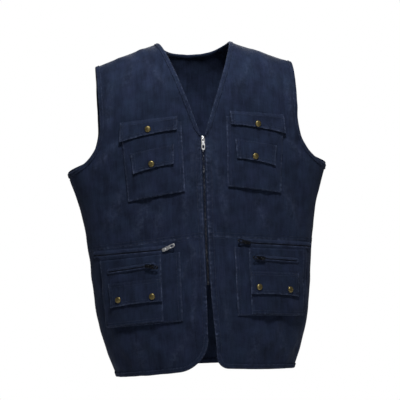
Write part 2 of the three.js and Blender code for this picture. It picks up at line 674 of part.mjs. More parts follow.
for (const side of SIDES) {
  const named = (piece) => `${piece}_${side.name}`;
  add(named('front_upper'), frontUpper(side), denim);
  add(named('front_lower'), frontLower(side), denim);
  add(named('armhole_binding'), binding((t) => armholePath(side, t), ARM_BINDING, -side.sign, 34), denimEdge);
  add(named('hem_binding'), binding((t) => hemPath(side, t), HEM_BINDING, -side.sign, 18), denimEdge);

  add(named('chest_pocket'), pocket(side, 'chestPocket', 7, 6, ground), denim);
  add(named('chest_flap'), flap(side, 'chestFlap', 'chestPocket', 7, 4, ground), denim);
  const onChest = (s, z) => layerTop('chestPocket', side, s, z);
  add(named('small_flap'), flap(side, 'smallFlap', 'chestPocket', 6, 3, onChest), denim);

  add(named('hip_pocket'), pocket(side, 'hipPocket', 11, 5, ground), denim);
  const onHip = (s, z) => layerTop('hipPocket', side, s, z);
  add(named('hip_top_pocket'), pocket(side, 'hipTopPocket', 9, 5, onHip), denim);
  const onHipTop = (s, z) => layerTop('hipTopPocket', side, s, z);
  add(named('hip_flap'), flap(side, 'hipFlap', 'hipTopPocket', 8, 4, onHipTop), denim);

  const snaps = [
    ['chest_snap', 'chestFlap', 'chestPocket', side.snaps.chest],
    ['small_snap', 'smallFlap', 'chestPocket', side.snaps.small],
    ['hip_snap_inner', 'hipFlap', 'hipTopPocket', side.snaps.hipInner],
    ['hip_snap_outer', 'hipFlap', 'hipTopPocket', side.snaps.hipOuter],
  ];
  for (const [piece, flapName, below, [u, v]] of snaps) {
    const { s, z, off } = flapTop(flapName, below, side, u, v);
    seat(add(named(piece), snapCap(), brass), side.sign * s, z, off + SNAP_GAP, 0);
  }

  const zipTurns = (fall, turns) => turns.map(
    (turn) => -side.sign * (Math.PI / 2 + Math.atan(fall) + THREE.MathUtils.degToRad(turn)));
  const zipTop = LAYER_GAP * 2 + TAPE_CLOTH + CHAIN_RISE;
  const waistSlope = (side.zipBelowOut - side.zipBelowIn) / (WAIST_ZIP.to - WAIST_ZIP.from);
  const waistZipZ = (s) => waistZ(s) - side.zipBelowIn - waistSlope * (s - WAIST_ZIP.from);
  const waistLook = side.name === 'left' ? steel : darkMetal;
  add(named('waist_zip'), zipStrip(side, WAIST_ZIP, 0, waistZipZ, ground, 11), zipCloth);
  sliderAndPull(named('waist_zip'), side.sign * WAIST_ZIP.slider, waistZipZ(WAIST_ZIP.slider), zipTop,
    zipTurns(WAIST_FALL + waistSlope, side.turns.waist), waistLook);

  const pocketFall = (POCKET_ZIP.zTo - POCKET_ZIP.zFrom) / (POCKET_ZIP.to - POCKET_ZIP.from);
  const [zipS, zipZ] = side.moves.hipTop;
  const pocketZipZ = (s) => POCKET_ZIP.zFrom + zipZ + pocketFall * (s - zipS - POCKET_ZIP.from);
  const pocketS = POCKET_ZIP.slider + zipS;
  const pocketTop = onHipTop(pocketS, pocketZipZ(pocketS)) + zipTop;
  add(named('pocket_zip'), zipStrip(side, POCKET_ZIP, zipS, pocketZipZ, onHipTop, 8), zipCloth);
  sliderAndPull(named('pocket_zip'), side.sign * pocketS, pocketZipZ(pocketS), pocketTop,
    zipTurns(-pocketFall, side.turns.pocket), darkMetal);

  add(named('zip_tape'), bend(1, 18, (u, v, w) => {
    const s = lerp(CHAIN_HALF + SEAM_GAP, TAPE_OUTER, u);
    const z = lerp(ZIP_END, V_BOTTOM - ZIP_TOP_CLEAR, v);
    return onFront(side.sign * s, z, -CLOTH - TAPE_GAP - TAPE_CLOTH * (1 - w));
  }), zipCloth);
}

add('back_panel', backPanel(), denim);
add('neck_binding', binding(neckPath, NECK_BINDING, -1, 36), denimEdge);
add('hem_binding_back', binding(backHemPath, HEM_BINDING, 1, 28), denimEdge);

const chainFoot = -CLOTH - TAPE_GAP - TAPE_CLOTH;
add('zip_chain', bend(1, 24, (u, v, w) => {
  const z = lerp(ZIP_END, V_BOTTOM - ZIP_TOP_CLEAR, v);
  return onFront(CHAIN_HALF * (2 * u - 1), z, chainFoot + CHAIN_THICK * w);
}), darkMetal);
const sliderZ = V_BOTTOM - SLIDER_LENGTH / 2 - SLIDER_CLEAR;
sliderAndPull('main_zip', 0, sliderZ, chainFoot + CHAIN_THICK + SEAM_GAP, [0, 0], steel);

export default vest;
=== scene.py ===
import json
import math
from functools import partial

import bmesh
import bpy
import numpy as np
from mathutils import Matrix, Vector


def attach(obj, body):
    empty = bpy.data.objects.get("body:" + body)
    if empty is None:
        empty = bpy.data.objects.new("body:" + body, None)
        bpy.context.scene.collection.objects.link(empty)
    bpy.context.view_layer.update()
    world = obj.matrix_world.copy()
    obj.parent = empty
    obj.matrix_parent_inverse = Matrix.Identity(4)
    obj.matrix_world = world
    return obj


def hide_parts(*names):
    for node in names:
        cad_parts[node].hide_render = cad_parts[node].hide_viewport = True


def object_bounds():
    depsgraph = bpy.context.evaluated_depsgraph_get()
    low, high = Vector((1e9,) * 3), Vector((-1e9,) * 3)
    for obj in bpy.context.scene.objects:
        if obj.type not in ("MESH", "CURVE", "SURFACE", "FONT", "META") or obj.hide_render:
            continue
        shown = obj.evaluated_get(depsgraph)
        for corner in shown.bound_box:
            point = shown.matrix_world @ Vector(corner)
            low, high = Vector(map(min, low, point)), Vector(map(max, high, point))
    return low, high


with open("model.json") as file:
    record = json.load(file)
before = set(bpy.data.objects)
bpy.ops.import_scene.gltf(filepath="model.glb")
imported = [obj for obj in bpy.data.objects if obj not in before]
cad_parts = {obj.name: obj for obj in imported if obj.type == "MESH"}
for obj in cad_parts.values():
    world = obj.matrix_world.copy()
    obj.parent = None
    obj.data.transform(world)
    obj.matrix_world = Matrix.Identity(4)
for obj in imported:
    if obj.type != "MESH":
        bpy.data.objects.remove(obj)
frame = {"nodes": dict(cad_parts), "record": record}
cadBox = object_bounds()
rigidBody = "vest"
print("frame loaded:", len(frame["nodes"]), "nodes")

# Camera: the photograph's viewing angle, from a little to the vest's left, with a slight roll
photoView = {"azimuth": -6.0, "distance": 2.6, "height": -0.333, "aimSideways": -0.0021, "roll": 2.2,
             "fieldOfView": 18.54, "sensor": 36}


def placeCamera(view):
    # stands off by the distance at the azimuth, looks level, and is rolled about its view
    turn = math.radians(view["azimuth"])
    data = bpy.data.cameras.new("photoCamera")
    data.sensor_width = view["sensor"]
    data.angle = math.radians(view["fieldOfView"])
    camera = bpy.data.objects.new("photoCamera", data)
    bpy.context.scene.collection.objects.link(camera)
    right = Vector((math.cos(turn), math.sin(turn), 0))
    back = Vector((math.sin(turn), -math.cos(turn), 0))
    camera.location = back * view["distance"] - right * view["aimSideways"] + Vector((0, 0, view["height"]))
    level = (-back).to_track_quat("-Z", "Y").to_matrix()
    camera.rotation_euler = (level @ Matrix.Rotation(math.radians(-view["roll"]), 3, "Z")).to_euler()
    bpy.context.scene.camera = camera


placeCamera(photoView)

# The body surface, in millimetres, as in the part: every layer of cloth is this surface moved outwards
body = {
    "sections": [  # height, half width, side radius, half angle of the front arc in degrees
        (-700, 187, 98, 45), (-630, 211, 90, 40), (-560, 226, 80, 36), (-420, 239, 66, 31),
        (-340, 252, 62, 30), (-262, 275, 60, 30), (-200, 280, 60, 30)],
    "neckHalf": 76, "tipHalf": 214.5, "shoulderFall": 0.354, "shoulderEase": 40, "shoulderRound": 140,
    "backNeckRun": 97, "vBottom": -203, "armHalf": 211, "armTurn": -165, "underarm": -268, "armPower": 2.25,
    "armLow": 0.55, "armEase": 1.5,
    "waist": -407, "waistFall": 0.093, "hem": -671, "hemFall": 0.1, "hemBack": -696, "cornerPart": 0.4,
    "zipHalf": 4.5, "zipEnd": -505}
cloth = {"panel": 1.8, "pocket": 1.5, "seamGap": 0.4, "seamLap": 0.25, "layerGap": 0.7}
sides = {
    # hem corner, parting, waist zip below its seam at both ends, how far out and up each pocket group sits,
    # degrees that each zip's slider and pull are turned up from it, and where on its flap each snap sits
    "left": {"sign": -1, "corner": 60, "part": 2.5, "zipBelow": (16, 10), "chest": (-4.5, -4),
             "hip": (-2, -3), "hipTop": (2.5, -3), "waistTurns": (11, 20), "pocketTurns": (-10, -19),
             "snaps": {"chest_snap_": (0.5, 0.4), "small_snap_": (0.535, 0.28),
                       "hip_snap_inner_": (0.18, 0.26), "hip_snap_outer_": (0.82, 0.3)}},
    "right": {"sign": 1, "corner": 22, "part": 6.5, "zipBelow": (9, 9), "chest": (3, 3),
              "hip": (0, 3), "hipTop": (-5, 3), "waistTurns": (3, 10), "pocketTurns": (0, 0),
              "snaps": {"chest_snap_": (0.475, 0.3), "small_snap_": (0.46, 0.28),
                        "hip_snap_inner_": (0.153, 0.33), "hip_snap_outer_": (0.79, 0.28)}}}
patches = {  # group, places round and heights of four corners: upper inner and outer, lower inner and outer
    "chestPocket": ("chest", (47, 171, 44, 161), (-168, -178, -310, -327)),
    "chestFlap": ("chest", (54, 172, 56, 174), (-157, -166, -185, -206)),
    "smallFlap": ("chest", (63, 152, 65, 147), (-214, -230, -254, -271)),
    "hipPocket": ("hip", (57, 230, 57, 226), (-434, -448, -573, -586)),
    "hipTopPocket": ("hipTop", (91, 224, 91, 220), (-438, -449.5, -572, -583.5)),
    "hipFlap": ("hipTop", (91, 204, 90, 202), (-485, -495, -532, -544))}
snapFlaps = {  # each snap's flap and the pocket below it
    "chest_snap_": ("chestFlap", "chestPocket"), "small_snap_": ("smallFlap", "chestPocket"),
    "hip_snap_inner_": ("hipFlap", "hipTopPocket"), "hip_snap_outer_": ("hipFlap", "hipTopPocket")}
waistZip = {"from": 74, "to": 244, "slider": 84, "half": 4.0}
pocketZip = {"from": 106, "to": 202, "slider": 116, "half": 3.5, "zFrom": -459, "zTo": -470}
softFolds = [  # place round, height, lean, width, length, rise: the part's own folds, on both fronts
    (31, -362, 0.02, 11, 36, 3.5), (112, -100, 0.1, 15, 32, 3.5), (165, -105, 0.06, 14, 32, 3.5),
    (66, -105, 0.2, 14, 34, 3), (28, -480, -0.04, 10, 40, 3), (120, -628, 0.25, 17, 24, 4),
    (185, -632, 0.15, 17, 24, 4), (226, -330, 0.1, 20, 55, 4.5)]


def lerp(a, b, t):
    # the share t of the way from a to b
    return a + (b - a) * t


def unit(v):
    # the same directions at length 1
    return v / np.maximum(np.linalg.norm(v, axis=-1, keepdims=True), 1e-9)


def signedPower(x, power):
    # the size of x to a power, with the sign of x
    return np.sign(x) * np.abs(x) ** power


def bell(x, width):
    # 1 at zero, falling off on both sides, to 1/e at the width
    return np.exp(-(x / width) ** 2)


def firstShare(t, end):
    # how far t is through the stretch from 0 to `end`
    return np.clip(t / end, 0, 1)


def lastShare(t, start):
    # how far t is through the stretch from `start` to 1
    return np.clip((t - start) / (1 - start), 0, 1)


def circle(count):
    # evenly spaced angles of a full turn
    return np.linspace(0, 2 * np.pi, count, endpoint=False)


def smoothstep(x, low, high):
    # from 0 at `low` to 1 at `high`, level at both: 3 t squared less 2 t cubed
    t = np.clip((x - low) / (high - low), 0, 1)
    return t * t * (3 - 2 * t)


def betweenCorners(corners, u, v):
    # straight between four corners, across by u and up by v
    topIn, topOut, lowIn, lowOut = corners
    return lerp(lerp(lowIn, lowOut, u), lerp(topIn, topOut, u), v)


def onPatch(patch, side, u, v):
    # place round and height of a point of a patch, moved as its group is on that side
    group, places, heights = patches[patch]
    return betweenCorners(places, u, v) + side[group][0], betweenCorners(heights, u, v) + side[group][1]


sectionRows = np.array(body["sections"], float)


def sectionAt(z):
    # cubic through the rows with one-sided slopes at the ends, level beyond them
    rows, zs = sectionRows[:, 1:], sectionRows[:, 0]
    slopes = np.empty_like(rows)
    slopes[1:-1] = (rows[2:] - rows[:-2]) / (zs[2:] - zs[:-2])[:, None]
    slopes[0] = (rows[1] - rows[0]) / (zs[1] - zs[0])
    slopes[-1] = (rows[-1] - rows[-2]) / (zs[-1] - zs[-2])
    z = np.clip(z, zs[0], zs[-1])
    i = np.clip(np.searchsorted(zs, z, "left") - 1, 0, len(zs) - 2)
    span = zs[i + 1] - zs[i]
    t = ((z - zs[i]) / span)[..., None]
    span = span[..., None]
    at = (rows[i] * (1 + 2 * t) * (1 - t) ** 2 + rows[i + 1] * t * t * (3 - 2 * t)
          + span * (slopes[i] * t * (1 - t) ** 2 - slopes[i + 1] * t * t * (1 - t)))
    half, sideR, angle = at[..., 0], at[..., 1], np.radians(at[..., 2])
    frontR = sideR + (half - sideR) / np.sin(angle)
    return half, sideR, angle, frontR, frontR * angle + sideR * (np.pi / 2 - angle)


def ridge(s):
    # height of the shoulder line: a hyperbola that falls outwards, zero at the neck's edge
    ease = body["shoulderEase"]
    return -body["shoulderFall"] * (np.hypot(s, ease) - math.hypot(body["neckHalf"], ease))


def drop(q):
    # how far the surface falls along a run from the ridge: a quarter circle, then straight down
    r = body["shoulderRound"]
    quarter = r * np.pi / 2
    return np.where(q < quarter, r * (1 - np.cos(np.minimum(q, quarter) / r)), r + q - quarter)


def run(s, z):
    # the reverse of drop: the run from the ridge down to a height
    r = body["shoulderRound"]
    d = np.maximum(ridge(s) - z, 0)
    return np.where(d < r, r * np.arccos(1 - np.minimum(d, r) / r), r * (np.pi / 2 - 1) + d)


def bare(s, q):
    # oval section of two arcs a quarter; over the shoulder the depth closes as a sine
    z = ridge(s) - drop(np.abs(q))
    half, sideR, angle, frontR, _ = sectionAt(z)
    t = np.abs(s)
    arc = frontR * angle
    turn = angle + (t - arc) / sideR
    onSide = t > arc
    x = np.where(onSide, half - sideR + sideR * np.sin(turn), frontR * np.sin(t / frontR))
    front = frontR * np.cos(t / frontR) - (frontR - sideR) * np.cos(angle)
    depth = np.where(onSide, sideR * np.cos(turn), front)
    roll = np.sin(np.minimum(np.abs(q) / body["shoulderRound"], np.pi / 2))
    return np.stack([np.sign(s) * x, -np.sign(q) * depth * roll, z], -1)


def normalAt(s, q, step=0.6):
    # square to the surface's differences both ways, a step to either side
    return unit(np.cross(bare(s, q + step) - bare(s, q - step), bare(s + step, q) - bare(s - step, q)))


def gaussFolds(table, s, z):
    # a sum of leaning ridges, each a bell across and a bell along
    rise = np.zeros_like(z)
    for place, height, lean, width, length, top in table:
        across, along = (s - place - lean * (z - height)) / width, (z - height) / length
        rise = rise + top * np.exp(-across ** 2 - along ** 2)
    return rise


fineFolds = [  # the same columns, signed place round: the small folds and drag lines of the fronts
    (-14, -300, 0.0, 4.5, 75, 1.5), (14, -290, 0.0, 4.5, 80, 1.5), (-24, -250, 0.06, 6, 60, 1.3),
    (26, -262, -0.04, 6, 65, 1.4), (-40, -330, 0.05, 8, 60, 1.6), (40, -335, -0.05, 8, 55, 1.4),
    (-130, -365, 0.3, 13, 45, 1.7), (-95, -372, 0.2, 10, 34, 1.4), (-185, -345, 0.45, 14, 45, 1.8),
    (120, -368, -0.25, 12, 38, 1.5), (185, -350, -0.4, 14, 48, 1.8), (-205, -240, 1.0, 10, 34, 1.6),
    (205, -236, -1.0, 10, 34, 1.6), (-190, -130, 0.12, 9, 60, 1.3), (192, -140, -0.1, 9, 60, 1.3),
    (-90, -70, -0.5, 9, 40, 1.3), (96, -75, 0.5, 9, 40, 1.2), (-140, -60, 0.35, 10, 36, 1.2),
    (150, -62, -0.35, 10, 36, 1.2), (-32, -540, 0.12, 6, 60, 1.5), (-44, -470, 0.5, 6, 34, 1.6),
    (-26, -440, -0.35, 6, 26, 1.3), (34, -560, -0.1, 7, 60, 1.2), (-70, -640, 0.6, 10, 30, 1.8),
    (-150, -640, -0.3, 11, 30, 1.6), (90, -640, 0.4, 12, 32, 1.5), (160, -636, -0.35, 12, 32, 1.5)]
backFolds = [  # long soft folds of the back
    (-120, -420, 0.06, 20, 150, 1.8), (130, -440, -0.05, 22, 150, 1.8), (0, -360, 0.0, 26, 130, 1.3),
    (-60, -560, 0.08, 16, 90, 1.5), (70, -580, -0.08, 16, 90, 1.5), (-180, -250, 0.6, 14, 50, 1.6),
    (180, -250, -0.6, 14, 50, 1.6), (-200, -520, 0.1, 18, 100, 1.5), (205, -500, -0.1, 18, 100, 1.5)]
crumpleLook = {"waves": 26, "long": 62, "short": 15, "spread": 0.75, "rise": 0.85, "seed": 5}


def crumple(s, z):
    # many weak plane waves of seeded length and direction, mostly running down the cloth
    rng = np.random.default_rng(crumpleLook["seed"])
    total = np.zeros_like(z)
    for _ in range(crumpleLook["waves"]):
        length = rng.uniform(crumpleLook["short"], crumpleLook["long"])
        turn = rng.normal(0, crumpleLook["spread"])
        phase = rng.uniform(0, 2 * np.pi)
        total = total + length / crumpleLook["long"] * np.sin(
            2 * np.pi * (s * np.cos(turn) + z * np.sin(turn)) / length + phase)
    return crumpleLook["rise"] * total / math.sqrt(crumpleLook["waves"] / 4)


# Lines of the waist seam and the small zips
def waistZ(s):
    # a straight line that falls outwards
    return body["waist"] - body["waistFall"] * s


def waistSlope(side):
    # how fast the waist zip leaves the seam above it
    return (side["zipBelow"][1] - side["zipBelow"][0]) / (waistZip["to"] - waistZip["from"])


def waistZipZ(side, s):
    # the seam's line, lowered by what the zip is below it
    return waistZ(s) - side["zipBelow"][0] - waistSlope(side) * (s - waistZip["from"])


pocketFall = (pocketZip["zTo"] - pocketZip["zFrom"]) / (pocketZip["to"] - pocketZip["from"])


def pocketZipZ(side, s):
    # a straight line between the zip's ends, moved with its pocket
    out, up = side["hipTop"]
    return pocketZip["zFrom"] + up + pocketFall * (s - out - pocketZip["from"])


# Places where a snap or a slider with its pull holds the cloth flat
calm = {"reach": 15, "pull": 14, "mainSlider": -212}
calmPlaces = [(0, calm["mainSlider"])]
for side in sides.values():
    places = [onPatch(flap, side, *side["snaps"][node]) for node, (flap, _) in snapFlaps.items()]
    for back in (0, calm["pull"]):
        s, t = waistZip["slider"] - back, pocketZip["slider"] + side["hipTop"][0] - back
        places += [(s, waistZipZ(side, s)), (t, pocketZipZ(side, t))]
    calmPlaces += [(side["sign"] * s, z) for s, z in places]


def stillness(s, z):
    # 1, but falling to 0 in a round bell at each calm place
    still = np.ones_like(z)
    for place, height in calmPlaces:
        still = still * (1 - np.exp(-((s - place) ** 2 + (z - height) ** 2) / calm["reach"] ** 2))
    return still


foldLook = {"fineRise": 2.0, "shoulderFade": 30, "sideKeep": 0.35, "sideFade": (205, 250)}


def folds(s, q, z):
    # the part's own folds and, fading out at the shoulder line and towards the sides, the small ones
    fine = foldLook["fineRise"] * gaussFolds(fineFolds, s, z)
    small = np.where(q > 0, fine, gaussFolds(backFolds, s, z)) + crumple(s, z)
    small = small * np.where(q > 0, stillness(s, z), 1) * np.clip(np.abs(q) / foldLook["shoulderFade"], 0, 1)
    small = small * lerp(1, foldLook["sideKeep"], smoothstep(np.abs(s), *foldLook["sideFade"]))
    return np.where(q > 0, gaussFolds(softFolds, np.abs(s), z), 0) + small


def onBody(s, q, off):
    # the surface point moved out along its normal, with the folds
    s, q, off = np.broadcast_arrays(np.asarray(s, float), np.asarray(q, float), np.asarray(off, float))
    p = bare(s, q)
    return p + normalAt(s, q) * (off + folds(s, q, p[..., 2]))[..., None]


# Edges of the panels, the same lines as the part's; at a seam each runs a little past the line, so none gapes
def hemZ(s):
    # a straight line that falls outwards
    return body["hem"] - body["hemFall"] * s


def sideSeam(z):
    # the arc length of a quarter of the section, and the lap
    return sectionAt(np.asarray(z, float))[4] + cloth["seamLap"]


vRun = float(run(body["zipHalf"], body["vBottom"]))


def neckS(q):
    # from the neck's edge on the ridge to the zip's edge at the bottom of the V, evenly with the fall
    return body["neckHalf"] - (body["neckHalf"] - body["zipHalf"]) * drop(q) / float(drop(vRun))


def armhole(t):
    # 0 at the side seam, 1 on the shoulder: a superellipse below, nearly straight above
    low, side = body["armLow"], float(sideSeam(body["underarm"]))
    turn = np.pi / 2 * (1 - firstShare(t, low) ** body["armEase"])
    power = 2 / body["armPower"]
    sLow = side - (side - body["armHalf"]) * np.maximum(np.cos(turn), 0) ** power
    zLow = body["armTurn"] - (body["armTurn"] - body["underarm"]) * np.maximum(np.sin(turn), 0) ** power
    rest = lastShare(t, low)
    s = np.where(t < low, sLow, lerp(body["armHalf"], body["tipHalf"], rest))
    q = np.where(t < low, run(sLow, zLow), lerp(float(run(body["armHalf"], body["armTurn"])), 0, rest))
    return s, q


def frontEdge(side, z):
    # the zip's edge, which parts smoothly from the zip's end down to the hem
    return body["zipHalf"] + side["part"] * smoothstep(-z, -body["zipEnd"], -body["hem"])


def lowerInner(side, v):
    # hem corner, a quarter ellipse, then the free front edge up to the waist seam
    part, start = body["cornerPart"], body["zipHalf"] + side["part"]
    turn = np.pi / 2 * firstShare(v, part)
    sLow = start + side["corner"] * (1 - np.sin(turn))
    zLow = hemZ(sLow) + side["corner"] * (1 - np.cos(turn))
    top = waistZ(body["zipHalf"]) + cloth["seamLap"]
    zHigh = lerp(hemZ(start) + side["corner"], top, lastShare(v, part))
    return np.where(v < part, sLow, frontEdge(side, zHigh)), np.where(v < part, zLow, zHigh)


# Mesh making
def ripple(x, seed, length):
    # smooth pseudo-random waves along x, about `length` apart
    rng = np.random.default_rng(seed)
    total, tones = np.zeros_like(x), (0.62, 0.87, 1.0, 1.31, 1.73)
    for k in tones:
        total = total + np.sin(2 * np.pi * k * x / length + rng.uniform(0, 2 * np.pi))
    return total * 2 / len(tones)


gridLook = {"roll": [0, 0.12, 0.4, 0.9], "groove": 0.8}


def nearLines(close):
    # distances from an edge: the rolled edge, then each stitch line with a line on either side
    beside = gridLook["groove"]
    return np.array(gridLook["roll"] + [c + d for c in close for d in (-beside, 0, beside)])


def edgeLines(length, spacing, close):
    # parameters from 0 to 1, crowded on the rolled edge and on the stitch lines
    near = nearLines(close)
    inner = near[-1] + spacing
    middle = np.linspace(inner, length - inner, max(int((length - 2 * inner) / spacing), 2))
    return np.concatenate([near, middle, length - near[::-1]]) / length


def alongLengths(p, axis):
    # distance from the first line and to the last, measured along the grid lines of one direction
    d = np.linalg.norm(np.diff(p, axis=axis), axis=-1)
    d = np.concatenate([np.zeros_like(d.take([0], axis)), np.cumsum(d, axis)], axis)
    return d, d.take([-1], axis) - d


def meshFrom(name, verts, faces, uv=None, wear=None):
    # a mesh object at the origin, with its weave as a UV map in metres and its wear as a value at each point
    mesh = bpy.data.meshes.new(name)
    mesh.from_pydata((verts * 0.001).tolist(), [], faces.tolist() if hasattr(faces, "tolist") else faces)
    mesh.polygons.foreach_set("use_smooth", np.ones(len(mesh.polygons), bool))
    if uv is not None:
        corner = np.empty(len(mesh.loops), np.int32)
        mesh.loops.foreach_get("vertex_index", corner)
        weave = mesh.uv_layers.new(name="weave").data
        weave.foreach_set("uv", (uv * 0.001)[corner].astype(np.float32).ravel())
    if wear is not None:
        mesh.attributes.new("wear", "FLOAT", "POINT").data.foreach_set("value", wear.astype(np.float32))
    mesh.validate()
    mesh.update()
    piece = bpy.data.objects.new(name, mesh)
    bpy.context.scene.collection.objects.link(piece)
    return piece


def gridFaces(index, flip):
    # a quad for each cell of a grid of point numbers
    a, b, c, d = index[:-1, :-1], index[1:, :-1], index[1:, 1:], index[:-1, 1:]
    return np.stack([a, d, c, b] if flip else [a, b, c, d], -1).reshape(-1, 4)


def ringFaces(n, m, closedAlong=False, cap=True):
    # n rings of m points joined into a tube, closed on itself or with its two ends capped
    index = np.arange(n * m).reshape(n, m)
    wrapped = np.concatenate([index, index[:, :1]], 1)
    if closedAlong:
        wrapped = np.concatenate([wrapped, wrapped[:1]], 0)
    faces = gridFaces(wrapped, False).tolist()
    return faces + [index[0].tolist(), index[-1][::-1].tolist()] if cap and not closedAlong else faces


shellGrid = {}
sheetLook = {"rub": 0.75, "rubWide": 1.6, "crestRub": 0.16, "crestMost": 1.5, "sink": 0.5, "puckerLong": 9.0,
             "bandPlace": 0.5, "bandWide": 0.75, "bandLeast": 2.5, "bandRub": (0.2, 0.4), "rubWithin": 6}


def clothShell(name, place, us, vs, thick, sewn=(), flip=False):
    # outer and inner faces of one layer of cloth, meeting in a rounded edge: the half thickness follows a
    # quarter circle from each edge; `sewn` rows (edge, distance, depth) sink the cloth along stitch lines and
    # pucker it; it is worn at sewn edges, on the crests of the fine folds and on the puckers
    look = sheetLook
    u, v = np.meshgrid(us, vs, indexing="ij")
    s, q, top = place(u, v)
    flat = onBody(s, q, top)
    uLow, uHigh = alongLengths(flat, 0)
    vLow, vHigh = alongLengths(flat, 1)
    reach = {"u0": (uLow, vLow), "u1": (uHigh, vLow), "v0": (vLow, uLow), "v1": (vHigh, uLow)}
    edge = np.minimum(np.minimum(uLow, uHigh), np.minimum(vLow, vHigh))
    rubbed = [reach[where][0] for where, _, _ in sewn if where != "v1"] or [np.full_like(edge, np.inf)]
    crest = np.clip(np.where(q > 0, gaussFolds(fineFolds, s, flat[..., 2]), 0), 0, look["crestMost"])
    wear = look["rub"] * bell(np.min(rubbed, axis=0), look["rubWide"]) + look["crestRub"] * crest
    shift = np.zeros_like(edge)
    for n, (where, distance, depth) in enumerate(sewn):
        e, along = reach[where]
        groove = bell(e - distance, gridLook["groove"])
        pucker = ripple(along, 7 * n + len(name), look["puckerLong"])
        band = bell(e - distance * look["bandPlace"], max(distance * look["bandWide"], look["bandLeast"]))
        shift += depth * pucker * band - look["sink"] * depth * groove
        if distance < look["rubWithin"] and where != "v1":
            wear += band * np.clip(look["bandRub"][0] + look["bandRub"][1] * pucker, 0, 1)
    half = thick / 2 * np.sqrt(1 - (1 - np.clip(edge / (thick / 2), 0, 1)) ** 2)
    outer = onBody(s, q, top + shift - thick / 2 + half)
    inner = onBody(s, q, top + shift - thick / 2 - half)
    shellGrid[name] = outer
    rim = np.zeros(u.shape, bool)
    rim[[0, -1], :] = rim[:, [0, -1]] = True
    index = np.arange(u.size).reshape(u.shape)
    below = np.where(rim, index, u.size + np.cumsum(~rim).reshape(u.shape) - 1)
    verts = np.concatenate([outer.reshape(-1, 3), inner[~rim]])
    weave = np.stack([s, q], -1)
    faces = np.concatenate([gridFaces(index, flip), gridFaces(below, not flip)])
    piece = meshFrom(name, verts, faces, np.concatenate([weave.reshape(-1, 2), weave[~rim]]),
                     np.clip(np.concatenate([wear.ravel(), wear[~rim]]), 0, 1))
    return piece


def profileAlong(name, rings, weave, wear):
    # closed profile rings (along, round, 3) joined into a tube with its ends closed
    faces = ringFaces(*rings.shape[:2])
    return meshFrom(name, rings.reshape(-1, 3), faces, weave.reshape(-1, 2), wear.ravel())


# Panels
panelRows = {
    "upperBreak": 5 / 17, "backBreak": 0.5, "spacing": 2.6, "backSpacing": 3.2, "crowd": 1.15,
    "lapFrom": 0.985, "lowerEase": 1.6, "backEase": 1.3, "neckPart": 0.3, "dipPower": 2.5,
    "roll": np.array([0.05, 0.16, 0.4]),
    "across": [(0, 0.06, 52), (0.06, 1, 228)],  # stretches: from, to, length
    "upper": [(0, 0.03, 36), (0.03, 5 / 17, 160), (5 / 17, 1, 270)], "lower": [(0, 0.4, 110), (0.4, 1, 200)],
    "backAcross": [(0, 0.35, 190), (0.35, 0.65, 150), (0.65, 1, 190)], "back": [(0, 0.5, 430), (0.5, 1, 300)],
    "sewnEdge": [("u0", 5.5, 0.7), ("u0", 10.5, 0.3)],  # edge, distance from it, depth
    "sewnWaist": [("v0", 3, 0.35), ("v0", 8.5, 0.35)]}


def breakLines(parts, spacing):
    # parameters through stretches (from, to, length), each evenly spaced, with a rolled edge at both ends
    lines = [np.linspace(a, b, max(int(length / spacing), 3))[1:] for a, b, length in parts]
    lines = np.concatenate([[parts[0][0]], *lines])
    first, last = lines[1] - lines[0], lines[-1] - lines[-2]
    low, high = lines[0] + first * panelRows["roll"], lines[-1] - last * panelRows["roll"][::-1]
    return np.concatenate([lines[:1], low, lines[1:-1], high, lines[-1:]])


def bottomSag(inner, outer, share, bottom):
    # how far a panel's bottom line runs beyond the straight line between its ends
    s = lerp(inner[0], outer[0], share)
    return run(s, bottom(s)) - lerp(inner[1], outer[1], share)


def crowd(u):
    # lines a little closer together towards the outer edge
    return 1 - (1 - u) ** panelRows["crowd"]


def upperInner(v):
    # up the zip's edge, then along the V to the shoulder
    b = panelRows["upperBreak"]
    z = lerp(waistZ(body["zipHalf"]) - cloth["seamLap"], body["vBottom"], firstShare(v, b))
    q = vRun * (1 - v) / (1 - b)
    s = np.where(v < b, body["zipHalf"], neckS(np.minimum(q, vRun)))
    return s, np.where(v < b, run(body["zipHalf"], z), q)


def upperOuter(v):
    # up the side seam to the underarm, then round the armhole to the shoulder
    b = panelRows["upperBreak"]
    bottom = waistZ(sectionAt(np.array(body["waist"], float))[4]) - cloth["seamLap"]
    z = lerp(bottom, body["underarm"], firstShare(v, b))
    s, q = armhole(lastShare(v, b))
    return np.where(v < b, sideSeam(z), s), np.where(v < b, run(sideSeam(z), z), q)


def shoulderLap(q, v):
    # the run, eased at the top by the lap past the shoulder line
    return np.maximum(q, 0) - cloth["seamLap"] * smoothstep(v, panelRows["lapFrom"], 1)


def frontUpper(side, u, v):
    # straight across from the inner to the outer edge, with the bottom rows bent to the waist seam
    inner, outer, share = upperInner(v), upperOuter(v), crowd(u)
    zero = np.zeros(1)
    sag = bottomSag(upperInner(zero), upperOuter(zero), share, lambda s: waistZ(s) - cloth["seamLap"])
    s = lerp(inner[0], outer[0], share)
    q = lerp(inner[1], outer[1], share) + sag * (1 - firstShare(v, panelRows["upperBreak"])) ** 2
    return side["sign"] * s, shoulderLap(q, v), np.zeros_like(s)


def frontLower(side, u, v):
    # straight across from the front edge to the side seam, in place round and height
    sIn, zIn = lowerInner(side, v)
    low, top = hemZ(sideSeam(body["hem"])), waistZ(sideSeam(body["waist"])) + cloth["seamLap"]
    zOut = lerp(low, top, v ** panelRows["lowerEase"])
    s, z = lerp(sIn, sideSeam(zOut), crowd(u)), lerp(zIn, zOut, crowd(u))
    return side["sign"] * s, run(s, z), np.zeros_like(s)


